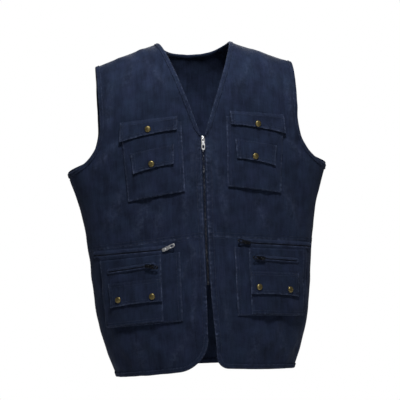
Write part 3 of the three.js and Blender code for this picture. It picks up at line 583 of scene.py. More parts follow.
def backPlace(u, v):
    # rows from side to side that dip at the neck, the dip fading downwards
    b, part = panelRows["backBreak"], panelRows["neckPart"]
    neckShare = body["neckHalf"] / body["tipHalf"]
    half = np.abs(2 * u - 1)
    share = np.where(half < part, half / part * neckShare, lerp(neckShare, 1, (half - part) / (1 - part)))
    low = firstShare(v, b) ** panelRows["backEase"]
    zSide = lerp(body["hemBack"], body["underarm"], low)
    sArm, qArm = armhole(lastShare(v, b))
    sOut = np.where(v > b, sArm, sideSeam(zSide))
    qOut = np.where(v > b, qArm, run(sideSeam(zSide), zSide))
    hemRun = float(run(0.0, body["hemBack"]))
    qMid = np.where(v > b, vRun * (1 - v) / (1 - b), lerp(hemRun, vRun, low))
    hemSide = float(sideSeam(body["hemBack"]))
    hemEnd = hemSide, float(run(hemSide, body["hemBack"]))
    sag = bottomSag((0, hemRun), hemEnd, share, lambda s: body["hemBack"])
    dip = np.where(half < part, body["backNeckRun"] * np.sqrt(np.maximum(1 - (share / neckShare) ** 2, 0)), 0)
    q = lerp(qMid, qOut, share) + sag * (1 - firstShare(v, b)) ** 2
    q = q + dip * lastShare(v, b) ** panelRows["dipPower"]
    return np.sign(2 * u - 1) * sOut * share, -shoulderLap(q, v), np.zeros_like(q)


pieces = {}
across, upper, lower = (breakLines(panelRows[k], panelRows["spacing"]) for k in ("across", "upper", "lower"))
backAcross, backUp = (breakLines(panelRows[k], panelRows["backSpacing"]) for k in ("backAcross", "back"))
edgeSewn = panelRows["sewnEdge"]
for name, side in sides.items():
    for node, label, place, rows, sewn in (
            ("front_upper_", "frontUpper.", frontUpper, upper, edgeSewn + panelRows["sewnWaist"]),
            ("front_lower_", "frontLower.", frontLower, lower, edgeSewn)):
        pieces[node + name] = clothShell(label + name, partial(place, side), across, rows, cloth["panel"],
                                         sewn, side["sign"] < 0)
pieces["back_panel"] = clothShell("backPanel", backPlace, backAcross, backUp, cloth["panel"], flip=True)
print("panels made")

# Bindings: a folded band carried along each edge, round the edge from the outside to the inside
bindings = {"neckWidth": 7, "armWidth": 9, "hemWidth": 9, "lift": 0.45, "cloth": 1.15, "roll": 1.25,
            "neckEnd": 0.6, "neckPart": 0.36, "endWidth": 0.4, "wave": 0.16, "waveLong": 8.0,
            "dash": (0.35, 0.9), "dashLong": 9.0,
            "edgeRub": (0.9, -0.3, 1.3), "seamRub": (0.4, 0.9),  # amount, place and width; amount and width
            "leastRub": 0.04, "insideRub": 0.1}


def bandProfile(width):
    # distance in from the edge and height above the panel, round the closed section of the folded band
    low, top, panel = bindings["lift"], bindings["lift"] + bindings["cloth"], cloth["panel"]
    out, under = bindings["roll"], -panel - bindings["lift"]
    back = under - bindings["cloth"]
    mid = -panel / 2
    return np.array([
        (width, low), (width, top - 0.35), (width - 0.5, top - 0.08), (width * 0.72, top),
        (width * 0.45, top + 0.1), (width * 0.2, top + 0.05), (0, top - 0.25), (-out * 0.7, low + 0.1),
        (-out, mid), (-out * 0.7, under - 0.1), (0, back + 0.25), (width * 0.2, back - 0.05),
        (width * 0.6, back), (width - 0.5, back + 0.08), (width, back + 0.4), (width, under),
        (width * 0.4, under), (0.2, under), (-out * 0.3, mid), (0.2, low), (width * 0.4, low)])


def besidePath(path, t, hand, step=0.002):
    # points of a path within the surface, and the change in both coordinates for a millimetre square to it
    s, q = path(t)
    (s0, q0), (s1, q1) = path(np.maximum(t - step, 0)), path(np.minimum(t + step, 1))
    stretch = np.linalg.norm(bare(s, q + 0.5) - bare(s, q - 0.5), axis=-1)
    ds, dq = s1 - s0, (q1 - q0) * stretch
    reach = hand / np.hypot(ds, dq)
    return s, q, -dq * reach, ds * reach / stretch


def bandAlong(name, path, width, hand, count, seed, ends=0):
    # the profile set square to the path, with slow waves along the band; worn in dashes along both its edges
    t = np.linspace(0, 1, count)
    s, q, sSide, qSide = besidePath(path, t, hand)
    a, h = bandProfile(width).T
    closing = smoothstep(np.abs(2 * t - 1), 1 - ends, 1) if ends else 0 * t
    a = a * lerp(1, bindings["endWidth"], closing)[:, None]
    length = alongLengths(onBody(s, q, 0), 0)[0]
    wave = bindings["wave"] * ripple(length, seed, bindings["waveLong"])[:, None]
    lift = h + np.where(h > 0.5, wave * np.sin(np.pi * np.clip(a / width, 0, 1)), 0)
    rings = onBody(s[:, None] + sSide[:, None] * a, q[:, None] + qSide[:, None] * a, lift)
    mean, swing = bindings["dash"]
    dash = np.clip(mean + swing * ripple(length, seed + 3, bindings["dashLong"]), 0, 1)[:, None]
    (edge, place, wide), (seam, seamWide) = bindings["edgeRub"], bindings["seamRub"]
    rub = edge * bell(a - place, wide) + seam * bell(a - width, seamWide)
    wear = np.clip(np.where(h < -0.5, bindings["insideRub"], bindings["leastRub"] + dash * rub), 0, 1)
    weave = np.stack([length[:, None] + 0 * a, a], -1)
    turn = 1 if hand > 0 else -1
    return profileAlong(name, rings[:, ::turn], weave[:, ::turn], wear[:, ::turn])


def neckPath(t):
    # up the V on one side, round half an ellipse behind the neck, down the V on the other
    part, clear = bindings["neckPart"], vRun - bindings["neckEnd"]
    qFront = clear * (1 - np.minimum(t, 1 - t) / part)
    turn = np.pi * (t - part) / (1 - 2 * part)
    front = np.minimum(t, 1 - t) < part
    hand = np.where(t < 0.5, -1, 1)
    s = np.where(front, hand * neckS(np.maximum(qFront, 0)), -body["neckHalf"] * np.cos(turn))
    return s, np.where(front, qFront, -body["backNeckRun"] * np.sin(turn))


def armholePath(side, t):
    # up the front half of the armhole from the side seam, and down the back half
    s, q = armhole(np.minimum(t, 1 - t) * 2)
    return side["sign"] * s, np.where(t < 0.5, q, -q)


def hemPath(side, t):
    # round the hem corner, then out along the hem to the side seam
    part = body["cornerPart"]
    sIn, zIn = lowerInner(side, np.maximum(part - t, 0))
    start = body["zipHalf"] + side["part"] + side["corner"]
    end = float(sideSeam(hemZ(sideSeam(body["hem"]))))
    sOut = lerp(start, end, lastShare(t, part))
    s = np.where(t < part, sIn, sOut)
    return side["sign"] * s, run(s, np.where(t < part, zIn, hemZ(sOut)))


def backHemPath(t):
    # from one side seam to the other at the back hem's height
    s = float(sideSeam(body["hemBack"])) * (2 * t - 1)
    return s, -run(s, body["hemBack"])


pieces["neck_binding"] = bandAlong("neckBinding", neckPath, bindings["neckWidth"], -1,
                                   count=330, seed=11, ends=0.05)
pieces["hem_binding_back"] = bandAlong("hemBindingBack", backHemPath, bindings["hemWidth"], 1,
                                       count=260, seed=12)
for name, side in sides.items():
    for node, path, width, count in (("armhole", armholePath, bindings["armWidth"], 330),
                                     ("hem", hemPath, bindings["hemWidth"], 200)):
        label = node + "Binding." + name
        pieces[f"{node}_binding_{name}"] = bandAlong(label, partial(path, side), width, -side["sign"], count,
                                                     len(label) + side["sign"])
print("bindings made")

# Patch pockets and flaps
pocketDepth = {"chestPocket": 3.6, "hipPocket": 3.0, "hipTopPocket": 2.4}
pocketShape = {"rim": 0.35, "mouth": 0.45, "power": 0.7, "flapStand": 1.2, "flapRise": 0.2, "turn": 2.6,
               "spacing": 1.9, "stitchLines": (2.4, 7.4), "sewnDeep": 0.3, "sewnDeepTop": 0.2, "bow": 2.4,
               "cornerLift": 1.0, "bellows": 1.4, "bellowsHigh": 40}
closeLines = nearLines(pocketShape["stitchLines"])
stitchLine = [int(np.searchsorted(closeLines, c - 0.01)) for c in pocketShape["stitchLines"]]


def patchShare(patch, side, s, z):
    # the reverse of onPatch, by turns across and up, held within the patch
    group, places, heights = patches[patch]
    s, z = s - side[group][0], z - side[group][1]
    v = np.full(np.shape(s), 0.5)
    for _ in range(4):
        inner, outer = (betweenCorners(places, u, v) for u in (0, 1))
        u = np.clip((s - inner) / (outer - inner), 0, 1)
        low, high = (betweenCorners(heights, u, end) for end in (0, 1))
        v = np.clip((z - low) / (high - low), 0, 1)
    return u, v


def swell(u, v):
    # a power of a half sine across, and less towards the top by the square of v
    across = lerp(pocketShape["rim"], 1, np.sin(np.pi * np.clip(u, 0, 1)) ** pocketShape["power"])
    return across * lerp(1, pocketShape["mouth"], v * v)


def layerTop(patch, side, s, z):
    # height of a pocket's outer face above the body, fullest low in the middle; none where no pocket is named
    if patch is None:
        return np.zeros_like(s)
    u, v = patchShare(patch, side, s, z)
    own = cloth["layerGap"] + pocketDepth[patch] * swell(u, v) + cloth["pocket"]
    return own + layerTop("hipPocket", side, s, z) if patch == "hipTopPocket" else own


def patchSize(patch):
    # mean width and height between its four corners
    _, (topIn, topOut, lowIn, lowOut), (zTopIn, zTopOut, zLowIn, zLowOut) = patches[patch]
    return (topOut - topIn + lowOut - lowIn) / 2, (zTopIn - zLowIn + zTopOut - zLowOut) / 2


def pocketPlace(patch, side, base, u, v):
    # the face turns down to the cloth below it in a quarter round; under its flap a chest pocket is open at
    # the top, and its bottom stands off the cloth, where its bellows are folded
    width, height = patchSize(patch)
    chest = patch == "chestPocket"
    s, z = onPatch(patch, side, u, v)
    edge = np.minimum(np.minimum(u, 1 - u) * width, (v if chest else np.minimum(v, 1 - v)) * height)
    turn = np.sqrt(1 - (1 - np.clip(edge / pocketShape["turn"], 0, 1)) ** 2)
    foot = layerTop(base, side, s, z) + cloth["layerGap"] + cloth["pocket"]
    if chest:
        foot = foot + pocketShape["bellows"] * smoothstep(v * height, pocketShape["bellowsHigh"], 0)
    return side["sign"] * s, run(s, z), lerp(foot, layerTop(patch, side, s, z), turn)


def flapHeight(patch, side, below, base, u, v):
    # clear of the pocket below it, and at the top edge down on the layer that it is sewn to
    s, z = onPatch(patch, side, u, v)
    clear = layerTop(below, side, s, z) + cloth["layerGap"] + pocketShape["flapStand"] * (1 - v)
    sewn = layerTop(base, side, s, z) + cloth["layerGap"]
    return s, z, lerp(clear, sewn, smoothstep(v, 1 - pocketShape["flapRise"], 1)) + cloth["panel"]


def flapPlace(patch, side, below, base, u, v):
    # the bottom edge bows up between its corners, and the corners stand away a little
    s, z, top = flapHeight(patch, side, below, base, u, v)
    free = (1 - v) ** 2
    z = z + pocketShape["bow"] * 4 * u * (1 - u) * free
    return side["sign"] * s, run(s, z), top + pocketShape["cornerLift"] * (2 * u - 1) ** 4 * free


layers = [  # node, patch, pocket under it (flaps only), pocket that it is sewn to, if any
    ("chest_pocket_", "chestPocket", None, None), ("chest_flap_", "chestFlap", "chestPocket", None),
    ("small_flap_", "smallFlap", "chestPocket", "chestPocket"), ("hip_pocket_", "hipPocket", None, None),
    ("hip_top_pocket_", "hipTopPocket", None, "hipPocket"),
    ("hip_flap_", "hipFlap", "hipTopPocket", "hipTopPocket")]
firstRow = pocketShape["stitchLines"][0]
for name, side in sides.items():
    for node, patch, below, base in layers:
        us, vs = (edgeLines(size, pocketShape["spacing"], pocketShape["stitchLines"])
                  for size in patchSize(patch))
        place = (partial(flapPlace, patch, side, below, base) if below
                 else partial(pocketPlace, patch, side, base))
        sewn = [(edge, firstRow, pocketShape["sewnDeep"]) for edge in ("u0", "u1", "v0")]
        sewn += [("v1", firstRow, pocketShape["sewnDeepTop"])] if below else []
        pieces[node + name] = clothShell(patch + "." + name, place, us, vs,
                                         cloth["panel"] if below else cloth["pocket"], sewn, side["sign"] < 0)
print("pockets and flaps made")


# Small hard pieces: one template repeated on many frames, or rings and lathes on a single frame
def frameAt(s, z, off, tilt=0.0, onFolds=False):
    # place and axes on the front: across, along the tilt and outwards, as the part seats its hardware
    s, z = np.broadcast_arrays(np.atleast_1d(np.asarray(s, float)), np.asarray(z, float))
    q = run(s, z)
    out = normalAt(s, q)
    rise = folds(s, q, z) if onFolds else gaussFolds(softFolds, np.abs(s), z)
    point = bare(s, q) + out * (off + rise)[..., None]
    across = unit(np.array([1.0, 0, 0]) - out * out[..., :1])
    up = np.cross(out, across)
    c, d = math.cos(tilt), math.sin(tilt)
    return point, np.stack([across * c + up * d, up * c - across * d, out], -2)


def stack(template, faces, points, axes):
    # every copy is point + template coordinates along its own axes
    n, m = len(points), len(template)
    verts = points[:, None, :] + np.einsum("ka,nab->nkb", template, axes)
    return verts.reshape(-1, 3), [[i + k * m for i in f] for k in range(n) for f in faces]


def mergeParts(parts):
    # several parts as one, their faces numbered on
    verts, faces, count = [], [], 0
    for v, f in parts:
        verts.append(v)
        faces += [[i + count for i in face] for face in f]
        count += len(v)
    return np.concatenate(verts), faces


def outward(piece):
    # turns every shell of a mesh to face outwards
    mesh = bmesh.new()
    mesh.from_mesh(piece.data)
    bmesh.ops.recalc_face_normals(mesh, faces=mesh.faces)
    mesh.to_mesh(piece.data)
    mesh.free()
    piece.data.update()
    return piece


# Zips: teeth in two rows that interlock, on tapes with a raised edge
zips = {"pitch": 1.35, "toothReach": 0.55, "chainHalf": 2.3, "chainTop": -1.5, "chainDeep": 2.0,
        "chainClear": 14, "tapeOuter": 12, "tapeTop": -2.5, "tapeCloth": 1.0, "topClear": 2, "smallHalf": 1.7,
        "smallDeep": 1.5, "bead": 0.3, "stripBead": (0.5, 0.09), "tapeBead": (0.12, 0.1), "toothSides": 8,
        "toothSquare": 0.7, "toothPart": 0.43, "tapeSteps": (0.8, 2.5), "stripSteps": (2.2, 0.5),
        "teethClear": (4, 3), "teethLift": 0.1, "sliderLift": 0.7}


def toothTemplate(half, deep, pitch):
    # an eight-sided bar across the chain, tapered and rounded to its tip
    n = zips["toothSides"]
    turn = circle(n) + np.pi / n
    square = signedPower(np.stack([np.cos(turn), np.sin(turn)], -1), zips["toothSquare"])
    rows, section = [], [pitch * zips["toothPart"], deep / 2]
    for x, scale in ((half, 0.8), (half * 0.85, 1.0), (0.1, 0.95), (-zips["toothReach"], 0.6)):
        rows.append(np.concatenate([np.full((n, 1), x), square * scale * section], 1))
    return np.concatenate(rows), ringFaces(len(rows), n)


def teeth(name, s, z, off, half, deep, tilt):
    # alternate teeth come from either side of the chain
    parts, off = [], np.broadcast_to(off, s.shape)
    for hand in (1, -1):
        template, faces = toothTemplate(half, deep, zips["pitch"])
        template = template * [hand, hand, 1]
        pick = slice(0 if hand > 0 else 1, None, 2)
        point, axes = frameAt(s[pick], z[pick], off[pick], tilt, True)
        parts.append(stack(template, faces, point, axes))
    return outward(meshFrom(name, *mergeParts(parts)))


def stripPlace(side, zipSize, move, zAt, base, u, v):
    # tape across a slit, with a raised bead along either side of the chain
    s = lerp(zipSize["from"], zipSize["to"], u) + move
    z = zAt(s) + zipSize["half"] * (2 * v - 1)
    place, wide = zips["stripBead"]
    top = layerTop(base, side, s, z) + cloth["layerGap"] + zips["tapeCloth"]
    return side["sign"] * s, run(s, z), top + zips["bead"] * bell(np.abs(2 * v - 1) - place, wide)


def tapePlace(side, u, v):
    # tape behind a front's edge, with a raised bead beside the chain
    s = lerp(zips["chainHalf"] + cloth["seamGap"], zips["tapeOuter"], u)
    z = lerp(body["zipEnd"], body["vBottom"] - zips["topClear"], v)
    place, wide = zips["tapeBead"]
    return side["sign"] * s, run(s, z), zips["tapeTop"] + zips["bead"] * bell(u - place, wide)


def smallZips(side):
    # node, sizes, its line, the pocket that it is sewn to, how far it is moved out, how it falls
    fall = body["waistFall"] + waistSlope(side)
    return (("waist_zip_", waistZip, partial(waistZipZ, side), None, 0, fall),
            ("pocket_zip_", pocketZip, partial(pocketZipZ, side), "hipTopPocket",
             side["hipTop"][0], -pocketFall))


def zipTurn(side, fall, turn=0):
    # a quarter turn, the slope of the zip's line and a turn of its own, mirrored with the side
    return -side["sign"] * (math.pi / 2 + math.atan(fall) + math.radians(turn))


welt = {"slit": (2.0, 0.5), "lift": (1.85, 2.6),  # pairs: lower, upper lip
        "low": 6.2, "high": 8.4, "thick": 1.0, "foot": 0.1, "pocketFoot": 1.5, "wave": 0.12, "waveLong": 7.0,
        "around": 14, "endTurn": 13, "step": 2.2, "square": 0.6, "hang": (6, 15), "rub": (0.1, 0.7, 1.1),
        "tuck": 0.3, "meetFade": 12, "footFade": 4, "turnUp": (-0.6, 0.8), "turnDown": (0, -0.8)}


def weltRing(name, side, zipSize, move, zAt, base):
    # folded lips round a slit: an oval section carried round a long loop; beyond the slider the upper lip
    # hangs over the teeth; both slope down to the cloth, a waist zip's lower lip to the hip pocket's top edge
    long, arc = zipSize["to"] - zipSize["from"] - 2, np.linspace(0, np.pi, welt["endTurn"])
    flat = np.linspace(0, 1, int(long / welt["step"]))[1:-1]
    x = np.concatenate([flat * long, 0 * arc + long, long - flat * long, 0 * arc])
    nx = np.concatenate([0 * flat, np.sin(arc), 0 * flat, -np.sin(arc)])
    ny = np.concatenate([0 * flat + 1, np.cos(arc), 0 * flat - 1, -np.cos(arc)])
    turn = circle(welt["around"])
    outer, edgeFoot = np.full((len(x), 1), welt["low"]), welt["foot"]
    if zipSize is waistZip:
        at = zipSize["from"] + 1 + x
        pocketS, pocketZ = onPatch("hipPocket", side, np.array([0.0, 1.0]), 1.0)
        end, fade = pocketS[1], welt["footFade"]
        toPocket = zAt(at) - np.interp(at, pocketS, pocketZ) + welt["tuck"]
        meets = toPocket * smoothstep(at, end + welt["meetFade"], end)
        outer = lerp(np.maximum(meets, welt["low"]), welt["high"], smoothstep(ny, *welt["turnUp"]))[:, None]
        onPocket = smoothstep(ny, *welt["turnDown"]) * smoothstep(at, end + fade, end - fade)
        edgeFoot = lerp(welt["foot"], welt["pocketFoot"], onPocket)[:, None]
    fromSlider = x - (zipSize["slider"] - zipSize["from"])
    over = (smoothstep(ny, -1, 1) * smoothstep(fromSlider, *welt["hang"]))[:, None]
    slit = lerp(*welt["slit"], over)
    reach = lerp(slit, outer, 0.5 - 0.5 * np.cos(turn))
    s = zipSize["from"] + 1 + move + x[:, None] + nx[:, None] * reach
    z = zAt(s) + ny[:, None] * reach
    length = np.cumsum(np.hypot(np.gradient(x), 0.3))[:, None]
    bulge = 1 + signedPower(np.sin(turn), welt["square"])
    foot = lerp(lerp(*welt["lift"], over), edgeFoot, smoothstep(reach, zipSize["half"] + 0.2, outer))
    wave = welt["wave"] * ripple(length, len(name), welt["waveLong"]) * (bulge > 0.6)
    top = layerTop(base, side, s, z) + foot + welt["thick"] / 2 * bulge + wave
    rings = onBody(side["sign"] * s, run(s, z), top)
    least, rub, wide = welt["rub"]
    wear = least + rub * bell(reach - slit, wide) + 0 * length
    return outward(meshFrom(name, rings.reshape(-1, 3), ringFaces(*rings.shape[:2], closedAlong=True),
                            np.stack([s, z], -1).reshape(-1, 2), wear.ravel()))


mainZ = np.arange(body["vBottom"] - zips["topClear"] - zips["chainClear"], body["zipEnd"] + 1, -zips["pitch"])
pieces["zip_chain"] = teeth("zipTeeth", 0 * mainZ, mainZ, zips["chainTop"] - zips["chainDeep"] / 2,
                            zips["chainHalf"], zips["chainDeep"], 0)
zipTeeth, welts = {}, {}
tapeSize = zips["tapeOuter"] - zips["chainHalf"] - cloth["seamGap"], body["vBottom"] - body["zipEnd"]
tapeLines = [edgeLines(size, step, ()) for size, step in zip(tapeSize, zips["tapeSteps"])]
for name, side in sides.items():
    flip = side["sign"] < 0
    pieces["zip_tape_" + name] = clothShell("zipTape." + name, partial(tapePlace, side), *tapeLines,
                                            zips["tapeCloth"], (), flip)
    for node, zipSize, zAt, base, move, fall in smallZips(side):
        zipName, teethName, weltName = (
            node.replace("_zip_", kind) + name for kind in ("Zip.", "Teeth.", "Welt."))
        stripSize = zipSize["to"] - zipSize["from"], 2 * zipSize["half"]
        lines = [edgeLines(size, step, ()) for size, step in zip(stripSize, zips["stripSteps"])]
        pieces[node + name] = clothShell(zipName, partial(stripPlace, side, zipSize, move, zAt, base), *lines,
                                         zips["tapeCloth"], (), flip)
        before, after = zips["teethClear"]
        s = np.arange(zipSize["slider"] + before, zipSize["to"] - after, zips["pitch"]) + move
        foot = layerTop(base, side, s, zAt(s)) + cloth["layerGap"] + zips["tapeCloth"] + zips["teethLift"]
        zipTeeth[node + name] = teeth(teethName, side["sign"] * s, zAt(s), foot, zips["smallHalf"],
                                      zips["smallDeep"], zipTurn(side, fall))
        welts[node + name] = weltRing(weltName, side, zipSize, move, zAt, base)
print("zips made")

# Sliders, pulls and snaps
slider = {"width": 7.6, "length": 13, "thick": 3, "bailWidth": 2.4, "bailLength": 9, "bailHeight": 3.8,
          "bailWire": 1.2, "bailSink": 0.6, "bailPower": 0.6, "bailSteps": 17, "bailSides": 12, "topClear": 1,
          "sides": 20,
          "rows": [  # along, width and height of each section, as shares
              (-1, 0.75, 0.6), (-0.97, 0.93, 0.9), (-0.85, 1, 1), (-0.4, 1, 1), (0, 1, 1), (0.35, 1, 1),
              (0.7, 1, 1), (0.9, 1, 1), (0.98, 0.94, 0.9), (1, 0.8, 0.6)],
          "taper": ([-1, 0.35, 1], [0.6, 1.0, 0.75])}
pull = {"length": 22, "width": 7.4, "thick": 1.2, "eye": 4.6, "eyeClear": 1, "eyeWall": 1.2, "overlap": 0.1,
        "eyePower": 5, "gripPower": 2.8, "slotPower": 2.2, "slot": (0.5, 0.95), "slotShift": -1.4,
        "steps": 56, "around": 20, "flatness": (0.35, 0.45)}
hingeHeight = slider["thick"] + (slider["bailHeight"] - slider["bailWire"]) / 2
snap = {"radius": 6.4, "height": 3.0, "gap": 0.45, "sides": 44,
        "profile": [  # radius and height, as shares
            (0.9, 0), (0.99, 0.06), (1.0, 0.16), (0.99, 0.3), (0.955, 0.42), (0.93, 0.47), (0.92, 0.55),
            (0.9, 0.66), (0.85, 0.76), (0.78, 0.83), (0.74, 0.84), (0.7, 0.83), (0.6, 0.9), (0.45, 0.96),
            (0.28, 0.99), (0.12, 1.0)]}


def superOval(count, power):
    # between an ellipse and a rectangle: signed powers of the cosine and the sine
    turn = circle(count)
    return signedPower(np.stack([np.cos(turn), np.sin(turn)], -1), 2 / power)


def sliderParts():
    # body: rounded sections lofted along the zip; bail: a flat wire carried over an arch
    half, end = slider["width"] / 2, slider["length"] / 2
    y, wide, tall = np.array(slider["rows"], float).T[:, :, None]
    wide = np.interp(y, *slider["taper"]) * half * wide
    oval = superOval(slider["sides"], 4)
    rings = np.stack([oval[:, 0] * wide, y * end + 0 * oval[:, 0],
                      slider["thick"] / 2 + oval[:, 1] * (slider["thick"] / 2 * tall)], -1)
    turn = np.linspace(0, np.pi, slider["bailSteps"])
    reach = slider["bailLength"] / 2 - slider["bailWire"] / 2
    rise = slider["bailHeight"] - slider["bailWire"] / 2
    power, sink = slider["bailPower"], slider["bailSink"]
    arcY = -reach * signedPower(np.cos(turn), power)
    arcZ = slider["thick"] - sink + (rise + sink) * np.sin(turn) ** power
    lead = unit(np.stack([np.gradient(arcY), np.gradient(arcZ)], -1))
    wire = superOval(slider["bailSides"], 3) * [slider["bailWidth"] / 2, slider["bailWire"] / 2]
    bail = np.stack([wire[:, 0] + 0 * lead[:, :1], arcY[:, None] - lead[:, 1:] * wire[:, 1],
                     arcZ[:, None] + lead[:, :1] * wire[:, 1]], -1)
    return mergeParts([(tube.reshape(-1, 3), ringFaces(*tube.shape[:2])) for tube in (rings, bail)])


def plateRing(centre, outer, outerPower, hole, holePower, holeShift):
    # a flat ring between two ovals, its edges rounded: sections run from the hole over the top to the rim
    # and back
    big = superOval(pull["steps"], outerPower) * outer + [0, centre]
    small = superOval(pull["steps"], holePower) * hole + [0, centre + holeShift]
    turn = circle(pull["around"])
    across = 0.5 + 0.5 * signedPower(np.cos(turn), pull["flatness"][0])
    high = pull["thick"] / 2 * signedPower(np.sin(turn), pull["flatness"][1])
    flat = small[:, None, :] + (big - small)[:, None, :] * across[None, :, None]
    rings = np.concatenate([flat, np.broadcast_to(high[None, :, None], flat.shape[:2] + (1,))], -1)
    return rings.reshape(-1, 3), ringFaces(*rings.shape[:2], closedAlong=True)


def pullParts():
    # eye ring on the bail's bar, and a longer oval ring with a grip slot
    half, bar, wall = pull["width"] / 2, pull["thick"] / 2, pull["eyeWall"]
    low = slider["bailLength"] / 2 + pull["eyeClear"]
    eye = plateRing((bar - low - wall) / 2, (half, (low + wall + bar) / 2), pull["eyePower"],
                    (pull["eye"] / 2, (low - bar) / 2), pull["eyePower"], (wall - bar) / 2)
    gripTop = -low - pull["overlap"]
    gripCentre = (gripTop - pull["length"]) / 2
    grip = plateRing(gripCentre, (half, (pull["length"] + gripTop) / 2), pull["gripPower"],
                     half * np.array(pull["slot"]), pull["slotPower"], pull["slotShift"])
    return mergeParts([eye, grip])


def seated(name, parts, s, z, off, tilt):
    # a small piece set on the front at its place, height and tilt
    return outward(meshFrom(name, *stack(*parts, *frameAt(s, z, off, tilt))))


def snapParts():
    # turned profile: flange, waist, rolled rim and a shallow dome with a soft dimple
    radius, height = (np.array(snap["profile"]) * [snap["radius"], snap["height"]]).T[:, :, None]
    turn = circle(snap["sides"])
    rings = np.stack([radius * np.cos(turn), radius * np.sin(turn), height + 0 * turn], -1)
    return rings.reshape(-1, 3), ringFaces(*rings.shape[:2])


pullPieces = {}
zipTop = cloth["layerGap"] * 2 + zips["tapeCloth"] + zips["sliderLift"]
for name, side in sides.items():
    for node, (patch, below) in snapFlaps.items():
        s, z, top = flapHeight(patch, side, below, None, *np.array(side["snaps"][node])[:, None])
        pieces[node + name] = seated(node.replace("_", "") + "." + name, snapParts(), side["sign"] * s, z,
                                     top + snap["gap"], 0)
    for node, zipSize, zAt, base, move, fall in smallZips(side):
        s = np.array([zipSize["slider"] + move], float)
        off, label = layerTop(base, side, s, zAt(s)) + zipTop, node.replace("_zip_", "Zip")
        sliderTurn, pullTurn = (zipTurn(side, fall, turn) for turn in side[node.split("_")[0] + "Turns"])
        pieces[node + name + "_slider"] = seated(label + "Slider." + name, sliderParts(), side["sign"] * s,
                                                 zAt(s), off, sliderTurn)
        pullPieces[node + name + "_pull"] = seated(label + "Pull." + name, pullParts(), side["sign"] * s,
                                                   zAt(s), off + hingeHeight, pullTurn)
sliderZ = body["vBottom"] - slider["length"] / 2 - slider["topClear"]
sliderFoot = zips["chainTop"] + cloth["seamGap"]
pieces["main_zip_slider"] = seated("mainZipSlider", sliderParts(), 0.0, sliderZ, sliderFoot, 0)
pullPieces["main_zip_pull"] = seated("mainZipPull", pullParts(), 0.0, sliderZ, sliderFoot + hingeHeight, 0)
print("sliders, pulls and snaps made")


# Stitching: short arched threads laid along rows, sunk at both ends
thread = {"pitch": 3.1, "long": 2.5, "wide": 0.42, "rise": 0.2, "sink": 0.35, "tackLong": 7.0,
          "tackWide": 1.9, "tackPitch": 0.55, "tackRise": 0.15, "proud": 0.1, "bandProud": 0.02, "sides": 5}
sewnRows = {"left": [], "right": [], "back": []}


def stitchTemplate(long, wide):
    # five-sided rings along the thread, closed to a point at both ends
    n = thread["sides"]
    turn, ring = circle(n), np.arange(n)
    rows = []
    for x, r, lift in ((-0.34, 0.85, 0.05), (0, 1.0, thread["rise"]), (0.34, 0.85, 0.05)):
        y, z = r * wide * np.cos(turn), lift + r * wide * np.sin(turn)
        rows.append(np.stack([0 * turn + x * long, y, z], -1))
    tips = np.array([[-long / 2, 0, -thread["sink"]], [long / 2, 0, -thread["sink"]]])
    verts = np.concatenate(rows + [tips])
    after, last, first, second = (ring + 1) % n, 2 * n, 0 * ring + 3 * n, 0 * ring + 3 * n + 1
    firstEnd = np.stack([first, after, ring], -1)
    secondEnd = np.stack([second, last + ring, last + after], -1)
    return verts, ringFaces(3, n, cap=False) + firstEnd.tolist() + secondEnd.tolist()


def sew(group, points, normals, pitch=None, long=None, crosswise=False):
    # threads at even steps along the row; crosswise threads lie across it, as in a bar tack
    pitch, long = pitch or thread["pitch"], long or thread["long"]
    length = alongLengths(points, 0)[0]
    centres = np.arange(pitch / 2, length[-1], pitch)
    ends = (np.clip(centres - long / 2, 0, None), centres + long / 2)

    def along(values, at):
        # between the points of the row, by its length
        return np.stack([np.interp(at, length, values[:, k]) for k in range(3)], -1)
    lead = unit(along(points, ends[1]) - along(points, ends[0]))
    up = along(normals, centres)
    up = unit(up - lead * np.sum(up * lead, -1, keepdims=True))
    beside = np.cross(up, lead)
    axes = np.stack([beside, -lead, up] if crosswise else [lead, beside, up], -2)
    template, faces = stitchTemplate(long, thread["wide"])
    sewnRows[group].append(stack(template, faces, along(points, centres), axes))


def sewPatch(group, label, sign, rows, tacked):
    # rows along the grid lines of a patch (edge, which stitch line) between the first lines of its other
    # edges; a flap has a bar tack near each upper corner
    grid, first = shellGrid[label], stitchLine[0]
    normals = sign * unit(np.cross(np.gradient(grid, axis=0), np.gradient(grid, axis=1)))
    between = slice(first, -first)
    for edge, k in rows:
        i = stitchLine[k]
        lines = {"u0": (i, between), "u1": (-1 - i, between), "v0": (between, i), "v1": (between, -1 - i)}
        sew(group, grid[lines[edge]], normals[lines[edge]])
    across = np.linspace(-0.5, 0.5, 5)[:, None] * thread["tackLong"]
    for i in (first, -1 - first) if tacked else ():
        j = -3 - first
        up, lead = normals[i, j], unit(grid[i, j] - grid[i, j - 1])
        sew(group, grid[i, j] + across * lead + thread["tackRise"] * up, np.repeat(up[None], 5, 0),
            thread["tackPitch"], thread["tackWide"], True)


def sewLine(group, s, q, off=thread["proud"]):
    # a row through points of the body surface
    sew(group, onBody(s, q, off), normalAt(*np.broadcast_arrays(np.asarray(s, float), np.asarray(q, float))))


def sewFront(name, s, z, off=thread["proud"]):
    # a row by place round and height on one front
    sewLine(name, sides[name]["sign"] * s, run(s, z), off)


def sewBand(group, path, hand, inset, t):
    # a row along a band, `inset` from its outer edge
    s, q, sSide, qSide = besidePath(path, t, hand)
    top = bindings["lift"] + bindings["cloth"] + thread["bandProud"]
    sewLine(group, s + sSide * inset, q + qSide * inset, top)


